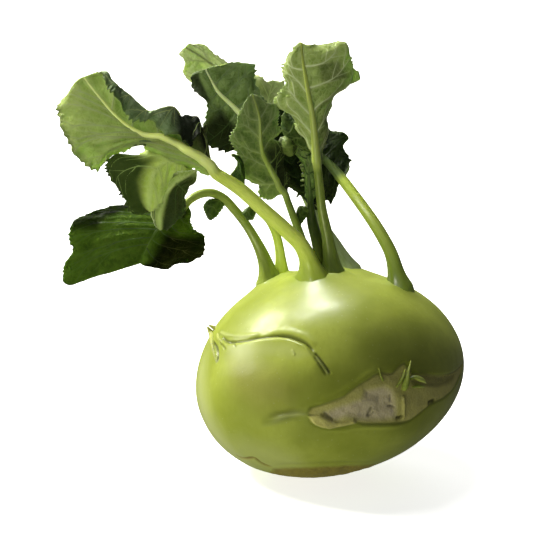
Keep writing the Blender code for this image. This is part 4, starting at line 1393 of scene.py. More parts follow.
@dataclass
class Blade:
    """A leaf blade: a thin closed shell with toothed, rippled margins, swollen between raised veins."""

    name: str
    shape: BladeShape
    finish: LeafTissue
    vein_finish: VeinRind
    rows: int = 200
    columns: int = 81
    laterals: int = 7
    left_veins: tuple[FlatPoint, ...] | None = None
    right_veins: tuple[FlatPoint, ...] | None = None
    tooth: float = 1.5
    tooth_pitch: float = 3.0
    lobing: float = 0.8
    frill: float = 0.6
    ripple: float = 1.2
    ripple_length: float = 11.0
    quilt: float = 0.55
    vein_radius: float = 0.26
    vein_sides: int = 6
    thickness: float = 0.5
    seed: int = 1
    # painted shade over parts of the blade
    fold_shades: tuple[FoldShade, ...] = ()

    def even_places(self) -> np.ndarray:
        """Spaces the rows so that none is far from the next anywhere across the blade."""
        last = len(self.shape.rib) - 1
        dense = np.linspace(0, last, 80 * last + 1)
        lines = self.shape.middle(dense, np.array([-1.0, -0.5, 0.0, 0.5, 1.0]))
        steps = np.linalg.norm(np.diff(lines, axis=0), axis=2).max(axis=1)
        length = np.concatenate([[0.0], np.cumsum(steps)])
        return np.interp(np.linspace(0, length[-1], self.rows), length, dense)

    def vein_routes(self) -> list[tuple[np.ndarray, float]]:
        """Lays out the side veins and their branches over the blade.

        Returns:
            For each vein its (across, place) points and its thickness as a part of the largest.
        """
        draw = np.random.default_rng(self.seed)
        last = len(self.shape.rib) - 1
        routes = []
        for sign, chosen in ((-1, self.left_veins), (1, self.right_veins)):
            if chosen is None:
                starts = (np.arange(self.laterals) + 0.45) / self.laterals * last * 0.93
                chosen = [(start, min(start + 0.13 * last, last - 0.02)) for start in starts]
            for number, (start, end) in enumerate(chosen):
                out = np.linspace(0.0, 0.97, 16)
                swing = draw.uniform(-0.04, 0.04) * last
                place = start + (end - start) * out**1.25 + swing * np.sin(out * math.pi)
                size = 1.0 - 0.45 * number / len(chosen)
                routes.append((np.column_stack([sign * out, place]), size))
                gap = 0.5 * last / max(len(chosen), 1)
                for branch, at in enumerate((0.28, 0.45, 0.6, 0.75)):
                    at = at + draw.uniform(-0.05, 0.05)
                    way = 1 if branch % 2 else -1
                    reach = np.linspace(0.0, 1.0, 9)
                    from_place = np.interp(at, out, place)
                    tip_out = min(at + draw.uniform(0.22, 0.36), 0.98)
                    tip_place = from_place + (end - start) * 0.5 + way * gap * draw.uniform(0.55, 0.85)
                    across = at + (tip_out - at) * reach
                    down = from_place + (tip_place - from_place) * reach**0.85
                    routes.append((np.column_stack([sign * across, np.clip(down, 0.02, last)]), 0.42 * size))
        return routes

    def teeth(self, margin: np.ndarray, seed: int) -> np.ndarray:
        """Gives how far each margin point stands out, from the length along the margin."""
        along = lengths_along(margin)
        walk = np.column_stack([along, np.full(len(along), 5.0 * seed), np.zeros(len(along))])
        phase = along / self.tooth_pitch + 1.3 * soft_noise(walk, 6.0, seed)
        part = phase - np.floor(phase)
        saw = np.where(part < 0.7, (part / 0.7) ** 1.5, ((1 - part) / 0.3) ** 1.1)
        size = np.clip(0.5 + 0.9 * soft_noise(walk, 4.0, seed + 40), 0.1, 1.4)
        lobes = soft_noise(walk, 7.0, seed + 80) - 0.6 * np.maximum(soft_noise(walk, 2.5, seed + 90), 0.0)
        return self.tooth * ((saw - 0.5) * size + self.lobing * lobes)

    def grid(self, veins: list[tuple[np.ndarray, float]]) -> tuple[BladeGrid, dict[str, np.ndarray]]:
        """Shapes the blade's middle surface.

        Args:
            veins: The vein routes.

        Returns:
            The surface and its masks.
        """
        places = self.even_places()
        across = np.linspace(-1.0, 1.0, self.columns)
        base = self.shape.middle(places, across)
        flat = BladeGrid(places, across, base, upward(base))
        last = len(self.shape.rib) - 1
        ends = smoothstep(places, 0.0, 0.06 * last) * smoothstep(last - places, 0.0, 0.03 * last)
        out = np.abs(across)[None, :]
        shifted = base.copy()
        for column, inner, seed in ((0, 1, self.seed), (-1, -2, self.seed + 7)):
            away = unit(base[:, column] - base[:, inner * 3 if column else 3])
            stand = self.teeth(base[:, column], seed) * ends
            side = (across[None, :] < 0) if column == 0 else (across[None, :] > 0)
            weight = (smoothstep(out, 0.78, 1.0) * side)[..., None]
            shifted += weight * (away * stand[:, None])[:, None, :]
        tree = kdtree.KDTree(sum(len(route) for route, _ in veins) * 4)
        sizes = []
        for route, size in veins:
            close, given = np.linspace(0, 1, 4 * len(route)), np.linspace(0, 1, len(route))
            spots, _ = flat.read(*(np.interp(close, given, part) for part in route.T))
            for spot in spots:
                tree.insert(spot, len(sizes))
                sizes.append(size)
        tree.balance()
        nearest = [tree.find(point) for point in base.reshape(-1, 3)]
        gap = np.array([found[2] for found in nearest]).reshape(base.shape[:2])
        strength = np.array(sizes)[[found[1] for found in nearest]].reshape(base.shape[:2])
        normals = upward(shifted)
        rib_gap = np.linalg.norm(base - base[:, [self.columns // 2]], axis=2)
        swell = self.quilt * (smoothstep(np.minimum(gap, rib_gap), 0.2, 2.6) - 0.5)
        crinkle = 0.25 * soft_noise(base, 3.4, self.seed + 3) + 0.4 * soft_noise(base, 8.0, self.seed + 5)
        edge_gap = np.min([np.linalg.norm(shifted - shifted[:, [end]], axis=2) for end in (0, -1)], axis=0)
        wave = self.ripple * soft_noise(base, self.ripple_length, self.seed + 9) * out**2.2 * 1.6
        wave += self.frill * soft_noise(base, 4.0, self.seed + 13) * smoothstep(out, 0.72, 1.0)
        lift = (swell + crinkle * smoothstep(rib_gap, 0.5, 3.0) + wave) * ends[:, None]
        points = shifted + normals * lift[..., None]
        masks = {
            "vein": np.maximum(
                np.exp(-((gap / (0.3 + 0.4 * strength)) ** 2)) * (0.3 + 0.3 * strength),
                np.exp(-((rib_gap / 1.0) ** 2)) * 0.6,
            ),
            "edge": 0.75 * (1 - smoothstep(edge_gap, 0.15, 0.7)),
            "shade": np.zeros(base.shape[:2]),
        }
        # painted shade over the folds
        for fold in self.fold_shades:
            masks["shade"] = np.maximum(masks["shade"], fold.cover(across[None, :], places[:, None]))
        return BladeGrid(places, across, points, upward(points)), masks

    def shell(self, grid: BladeGrid, masks: dict[str, np.ndarray]) -> bpy.types.Object:
        """Closes the middle surface into a thin shell."""
        rows, columns = grid.points.shape[:2]
        out = np.abs(grid.across)[None, :]
        half = self.thickness * (0.5 - 0.25 * smoothstep(out, 0.6, 1.0)) * np.ones((rows, 1))
        upper = grid.points + grid.normals * half[..., None]
        lower = grid.points - grid.normals * half[..., None]
        count = rows * columns
        faces = [grid_faces(rows, columns), grid_faces(rows, columns, count, True)]
        rim = list(range(columns))
        rim += [row * columns + columns - 1 for row in range(1, rows)]
        rim += [(rows - 1) * columns + column for column in range(columns - 2, -1, -1)]
        rim += [row * columns for row in range(rows - 2, 0, -1)]
        first = np.array(rim)
        second = np.roll(first, -1)
        faces.append(np.stack([second, first, count + first, count + second], axis=1))
        points = np.vstack([upper.reshape(-1, 3), lower.reshape(-1, 3)])
        attributes = {key: np.tile(values.ravel(), 2) for key, values in masks.items()}
        attributes["under"] = np.repeat([0.0, 1.0], count)
        return plain_mesh("leaf_" + self.name, points, faces, attributes)

    def vein_tubes(self, grid: BladeGrid, veins: list[tuple[np.ndarray, float]]) -> list[np.ndarray]:
        """Lifts the vein routes onto the finished blade, tapering to their tips."""
        tubes = []
        for route, size in veins:
            turn = np.linspace(0, 1, 2 * len(route))
            fine = np.column_stack([np.interp(turn, np.linspace(0, 1, len(route)), part) for part in route.T])
            spots, _ = grid.read(fine[:, 0], fine[:, 1])
            half = self.thickness * (0.5 - 0.25 * smoothstep(np.abs(fine[:, 0]), 0.6, 1.0))
            radius = half + self.vein_radius * size * (1.0 - 0.85 * turn)
            tone = 0.6 * turn
            # veins inside a fold take its painted shade
            for fold in self.fold_shades:
                tone = np.maximum(tone, 1.3 * fold.cover(fine[:, 0], fine[:, 1]))
            tubes.append(np.column_stack([spots, radius, tone]))
        return tubes

    def dress(self, sweep: bpy.types.NodeTree, node: str) -> BladeGrid:
        """Builds the blade and its veins and registers both.

        Args:
            sweep: The sweep tree.
            node: The CAD node that the blade replaces, or nothing.

        Returns:
            The blade's middle surface.
        """
        veins = self.vein_routes()
        grid, masks = self.grid(veins)
        blade = self.shell(grid, masks)
        blade.data.materials.append(self.finish.build())
        register(blade, Slot.BLADE, *([node] if node else []))
        tubes = self.vein_tubes(grid, veins)
        piece = swept("veins_" + self.name, tubes, sweep, self.vein_finish.build(), self.vein_sides)
        register(piece, Slot.BLADE)
        return grid


# Each leaf has its own copy of the tissue. Some of the difference is the leaf's own tone, but most is painted
# light and shade: pale copies such as "rear" for lit leaves, dark ones such as "right", "young_dark" and
# "upright_wing" for shaded leaves.
LEAF_FINISHES = {
    finish.name: finish
    for finish in (
        LeafTissue(
            "left_front", upper="90a474", upper_deep="6c8250", under="b8cb72", under_deep="9cb156",
            vein_upper="7f9462", vein_under="c2d184", edge="7c9048",
        ),
        LeafTissue(
            "left_drooping", upper="516b1c", upper_deep="3b5310", vein_upper="5c7c26", edge="43621a",
            gloss=0.08,
        ),
        LeafTissue("left_thin", upper="2f4a14", upper_deep="20370b", vein_upper="43602a", edge="a9ba78"),
        LeafTissue("middle", under="84985a", under_deep="6a8240", vein_under="aebf7c", edge="8a9c5c"),
        LeafTissue("upright", under="a6b768", under_deep="869b4a", vein_under="c2cf8c", edge="7c9048"),
        LeafTissue("right", upper="30451a", upper_deep="1a2c0c", vein_upper="5c7038", edge="3c5220"),
        LeafTissue("back", upper="7c8f52", upper_deep="5a6e36", vein_upper="829862", edge="6f8650"),
        LeafTissue(
            "rear", upper="c3d18e", upper_deep="a4b670", under="d8e4a0", under_deep="b8c880",
            vein_upper="c6d39a", edge="c3cf92",
        ),
        LeafTissue(
            "heart", upper="7c9c4c", upper_deep="3c581e", under="6c833e", under_deep="4a6426",
            edge="8a9e58",
        ),
        LeafTissue(
            "left_front_lobe", under="b8cc62", under_deep="98ae46", vein_under="b8c87a", edge="8c9e5a",
            fold="1a3006",
        ),
        LeafTissue("left_front_fold", under="98ac58", under_deep="728a3a", fold="14240a"),
        LeafTissue("upright_wing", under="38501a", under_deep="24390c", vein_under="6c8240", edge="4c6426"),
        LeafTissue("young_dark", upper="14240a", upper_deep="0a1404", vein_upper="2c4416", edge="2c4416"),
        LeafTissue("young_bud", under="7c9044", under_deep="3f5822", vein_under="98aa62"),
    )
}
YOUNG_TISSUE = LeafTissue(
    "young", upper="46602a", upper_deep="2c4416", under="5f7838", under_deep="3c5420", vein_upper="6c8442",
    vein_under="829858", edge="7c9250",
)
YOUNG_VEINS = VeinRind("young", "829858", "4c6428")
# The vein colours follow each leaf's painted light and shade: dark veins on shaded leaves.
VEIN_FINISHES = {
    finish.name: finish
    for finish in (
        VeinRind("left_drooping", "5f8030", "0a1404"),
        VeinRind("left_thin", "4a6426", "263c12"),
        VeinRind("right", "4a5f2a", "14220a"),
        VeinRind("heart", "5d7834", "1c3008"),
        VeinRind("middle", "bccb8e", "7e9450"),
        VeinRind("back", "8a9c66", "24380e"),
        VeinRind("upright", "ccd89c", "b4c47e"),
        VeinRind("upright_wing", "7c9248", "4c6424"),
        VeinRind("young_dark", "2c4416", "16260a"),
        VeinRind("young_bud", "98aa62", "6c8040"),
        VeinRind("left_front_lobe", "b8cc66", "7c9448"),
        VeinRind("left_front_fold", "8a9e54", "35501c"),
        VeinRind("left_front", "c2d088", "9cae64"),
    )
}
# The stalk and midrib colours are likewise lit and shaded copies: "left_front" painted brighter, "rear",
# "heart" and the darker ribs painted as shade.
STALK_FINISHES = {
    finish.name: finish
    for finish in (
        StalkSkin(
            "left_front", stalk="dcea74", shade="c6da58", rib="e2f090", foot="7c9028", foot_shade_strength=0.8,
        ),
        StalkSkin("left_drooping", stalk="b4c468", shade="94a848", rib="5f7c2c"),
        StalkSkin("left_thin", rib="4f6a2c"),
        StalkSkin("middle", stalk="a4b85c", shade="849c40", rib="b4c86a"),
        StalkSkin(
            "upright", stalk="a4b856", shade="889e3e", rib="cbdc70", foot="6c8230", foot_shade_strength=0.6,
        ),
        StalkSkin("back", stalk="bccb94", shade="a0b276", rib="d3e09c", foot="8a9c58", foot_shade_strength=0.4),
        StalkSkin("rear", stalk="6c7d38", shade="52652a", rib="b8c688"),
        StalkSkin("heart", stalk="4c6024", shade="34481a", rib="5d7834"),
        StalkSkin("right", stalk="bccd5a", shade="9fb444", rib="5c7038", foot="5c7024", foot_shade_strength=0.85),
    )
}
STALK_SHAPES: dict[str, dict[str, float]] = {
    "left_front": dict(rib_start=1.95, rib_tip=0.3),
    "back": dict(rib_start=1.25, rib_tip=0.35, rib_sink=-0.4),
    "left_thin": dict(rib_start=0.45, rib_tip=0.2),
    "left_drooping": dict(rib_sink=0.25),
    "right": dict(rib_start=2.0, rib_sink=0.1, foot=22.0),
    "rear": dict(rib_sink=0.3),
    "upright": dict(rib_start=1.7, rib_tip=0.4),
    "middle": dict(rib_start=1.3, rib_tip=0.3),
}
# Each leaf's list of folds paints shade over parts of its blade.
LEAF_GROWTH: dict[str, dict[str, object]] = {
    "left_front": dict(
        rows=300, columns=81, tooth=1.8, tooth_pitch=2.6, seed=3, quilt=0.7, frill=1.1, ripple=1.7,
        left_veins=((0.8, 1), (2.3, 3), (4, 4.8), (5.6, 6.5), (7.2, 8)),
        right_veins=(
            (0.4, 1.6), (1.1, 2.5), (1.9, 3.0), (2.6, 3.6), (3.3, 4.4), (4.1, 5.2), (5, 6.1), (6, 7),
            (7, 8), (7.9, 8.6),
        ),
        fold_shades=(
            FoldShade((-1.2, -0.12), (0.4, 2.5), 0.97), FoldShade((-0.9, -0.35), (6.9, 7.6), 0.6),
            FoldShade((0.9, 1.5), (3.6, 9.5), 0.5), FoldShade((-1.5, -0.93), (6.0, 9.5), 0.4),
        ),
    ),
    "left_drooping": dict(
        rows=220, columns=65, tooth=1.1, tooth_pitch=2.2, lobing=1.6, seed=4, ripple=1.9, frill=1.0,
        vein_radius=0.18, left_veins=((0.8, 1.1), (1.8, 2.2), (2.8, 3.3), (3.9, 4.4), (4.8, 5.3)),
        right_veins=((0.3, 0.6), (0.9, 1.1), (1.6, 1.9), (2.2, 2.9), (3, 3.7), (3.8, 4.6), (4.5, 5.2)),
        fold_shades=(
            FoldShade((-1.3, -0.28), (2.7, 6.4), 0.98), FoldShade((0.68, 1.3), (0.1, 3.2), 0.85),
            FoldShade((-0.5, 0.5), (-0.4, 1.0), 0.8),
        ),
    ),
    "left_thin": dict(
        rows=90, columns=31, tooth=0.3, tooth_pitch=1.6, quilt=0.3, frill=0.2, ripple=0.4,
        left_veins=((0.8, 1.2), (1.6, 2.1)), right_veins=((0.8, 1.2), (1.6, 2.1)), seed=5,
    ),
    "middle": dict(
        rows=240, columns=61, tooth=1.25, tooth_pitch=1.5, lobing=0.8, seed=6, ripple=1.4,
        left_veins=((0.6, 1.2), (1.9, 2.8), (3.1, 4.2), (4.4, 5.4), (5.7, 6.7), (7, 8)),
        right_veins=((1.5, 2.3), (2.9, 3.9), (4.2, 5.2), (5.5, 6.5), (6.9, 7.9)),
        fold_shades=(FoldShade((-1.2, -0.15), (-0.5, 4.2), 0.8),),
    ),
    "upright": dict(
        rows=240, columns=65, tooth=1.7, tooth_pitch=2.1, seed=7, ripple=1.8, frill=1.1, lobing=0.6,
        vein_radius=0.34,
        fold_shades=(FoldShade((-1.2, -0.35), (-0.5, 2.4), 0.35), FoldShade((-0.75, -0.3), (4.6, 5.6), 0.4)),
        left_veins=((0.7, 1.6), (1.9, 3.1), (3.1, 4.4), (4.4, 5.6), (5.6, 6.5)),
        right_veins=((0.8, 1.8), (1.9, 3.2), (2.9, 4.5), (4.1, 5.6), (5.4, 6.5)),
    ),
    "right": dict(
        rows=180, columns=45, tooth=1.6, tooth_pitch=3.2, lobing=1.0, seed=8, ripple=1.8,
        left_veins=((0.6, 0.9), (1.4, 1.8), (2.3, 2.9), (3.3, 3.9), (4.3, 4.9)),
        right_veins=((0.5, 0.9), (1.1, 1.8), (1.8, 2.7), (2.7, 3.6), (3.7, 4.5), (4.6, 5.2)),
        fold_shades=(FoldShade((-1.1, -0.1), (-0.5, 6.0), 0.5),),
    ),
    "back": dict(
        rows=200, columns=51, tooth=1.5, tooth_pitch=2.8, lobing=1.0, seed=9, ripple=1.6,
        left_veins=((0.6, 0.9), (1.3, 1.8), (2.2, 3), (3.2, 4)),
        right_veins=((0.6, 1), (1.6, 2.3), (2.6, 3.3), (3.7, 4.3)),
        fold_shades=(FoldShade((-1.3, -0.3), (-0.5, 2.6), 0.95), FoldShade((-1.2, -0.6), (3.2, 4.9), 0.85)),
        vein_radius=0.18,
    ),
    "rear": dict(
        rows=160, columns=45, tooth=1.3, tooth_pitch=3.0, seed=10,
        left_veins=((0.7, 1.2), (1.5, 2.1), (2.3, 3), (3.1, 3.8), (3.9, 4.4)),
        right_veins=((0.8, 1.3), (1.7, 2.4), (2.5, 3.1), (3.3, 3.8), (4, 4.4)),
        fold_shades=(FoldShade((-1.1, 0.2), (0.0, 2.4), 0.45),),
    ),
    "heart": dict(
        rows=150, columns=45, tooth=1.3, tooth_pitch=2.2, lobing=1.1, seed=11,
        left_veins=((0.7, 1.2), (1.5, 2.1), (2.4, 3), (3, 3.5)),
        right_veins=((0.7, 1.3), (1.6, 2.3), (2.6, 3.2)),
    ),
    "left_front_lobe": dict(
        rows=200, columns=61, tooth=1.7, tooth_pitch=2.4, lobing=1.5, seed=21, ripple=2.4, quilt=0.9,
        frill=1.0, vein_radius=0.16, left_veins=((1.5, 3.2), (3.0, 5.6)),
        right_veins=((0.5, 1.7), (1.1, 3.0), (1.8, 4.4), (2.8, 5.6), (4.2, 6.4)),
        fold_shades=(FoldShade((-1.3, -0.2), (2.5, 8.0), 0.93),),
    ),
    "left_front_fold": dict(
        rows=140, columns=49, tooth=0.8, tooth_pitch=2.0, seed=22, ripple=0.8, left_veins=((3.8, 4.8),),
        right_veins=((2, 2.8),),
        fold_shades=(FoldShade((0.14, 1.3), (0.4, 7.0), 0.92), FoldShade((-1.3, -0.6), (1.4, 4.6), 0.9)),
    ),
    "upright_wing": dict(
        rows=100, columns=41, tooth=0.6, tooth_pitch=1.8, seed=23, ripple=0.5, quilt=0.4,
        left_veins=((0.6, 1.2), (1.6, 2.3), (2.8, 3.4)), right_veins=((0.6, 1.2), (1.6, 2.3), (2.8, 3.4)),
    ),
    "young_dark": dict(rows=140, columns=41, tooth=1.1, tooth_pitch=2.4, lobing=1.1, seed=24, ripple=1.0),
    "young_bud": dict(
        rows=70, columns=33, tooth=0.4, tooth_pitch=1.3, seed=25, ripple=0.3, quilt=0.4, frill=0.3,
        laterals=3, vein_radius=0.15,
        fold_shades=(FoldShade((-1.2, -0.5), (-0.5, 5.0), 0.7), FoldShade((0.55, 1.2), (-0.5, 5.0), 0.6)),
    ),
}

STEMS: dict[str, tuple[Section, ...]] = {
    "left_front": (
        (2, -6, 68, 4.2), (1.5, -8, 76, 3.7), (0, -10, 83, 3.0), (-3, -13, 89.5, 2.8), (-8, -16, 95, 2.7),
        (-17, -20, 104, 2.5), (-24.5, -24, 111.5, 2.4), (-33.9, -29.35, 118.7, 2.1),
    ),
    "left_drooping": (
        (-13.5, 8, 64, 2.9), (-14.3, 8, 72, 2.8), (-16, 8, 79, 2.4), (-20.5, 7, 89, 1.8),
        (-27.5, 4, 99.5, 1.7), (-31.5, 2, 104, 1.7), (-36, 0, 106.3, 1.6), (-40, -1.5, 106, 1.6),
        (-44.7, -3.2, 103.5, 1.5),
    ),
    "left_thin": (
        (-9.5, 13, 64, 2.1), (-9.7, 12.5, 73, 2.0), (-10, 11, 79, 1.8), (-11.5, 9, 88, 1.6),
        (-14.3, 6, 94.5, 1.4), (-18.5, 2, 99.5, 1.3), (-22.5, -4, 105, 1.1), (-24.3, -8.4, 109.4, 1.0),
    ),
    "middle": (
        (0.5, 3, 66, 1.8), (0, 2, 76, 1.7), (-1, 0, 84, 1.6), (-3, -2, 91.5, 1.5), (-5, -3.5, 97, 1.4),
        (-6.8, -4, 102, 1.3), (-8.2, -4.1, 105.9, 1.2),
    ),
    "upright": (
        (10, -2, 66, 3.0), (9.3, -3, 76, 2.7), (8.7, -3, 81, 2.5), (7.2, -4, 91, 2.1),
        (5.2, -5.5, 101, 1.7), (4.2, -7.5, 109, 1.6), (3.35, -9.8, 117.1, 1.5),
    ),
    "right": (
        (34.5, -4, 60, 3.4), (34, -4, 71, 3.0), (32.8, -4, 77.5, 2.6), (31.2, -4, 83.5, 2.4),
        (27.2, -3, 91.3, 2.3), (22.6, -1, 98.2, 2.2), (18.4, 2, 103.7, 2.1), (13.6, 6.8, 109.6, 2.0),
    ),
    "back": (
        (13.5, 8, 66, 4.6), (12.8, 8, 76, 4.0), (10, 8.5, 84.5, 2.9), (6, 9, 91.5, 2.2),
        (1.5, 9, 99.5, 1.9), (-1.5, 9, 105.8, 1.8), (-7, 9.5, 113, 1.7), (-11, 10, 118, 1.6),
        (-17.7, 12, 127, 1.5),
    ),
    "rear": (
        (9.3, 15.5, 66, 1.6), (9, 15.8, 76, 1.5), (8.3, 16.3, 84, 1.4), (7, 17, 92, 1.3),
        (5.5, 18, 99, 1.3), (3.8, 19.5, 105, 1.3), (1.5, 21.5, 110.5, 1.2), (-1, 23.3, 115.5, 1.2),
        (-3.8, 24.9, 120.6, 1.1),
    ),
    "heart": (
        (5.6, 0.5, 68, 1.6), (5.4, 0, 78, 1.8), (3.6, -0.4, 88, 2.1), (1.6, -1, 96, 1.9),
        (1, -1.5, 103, 1.1),
    ),
}

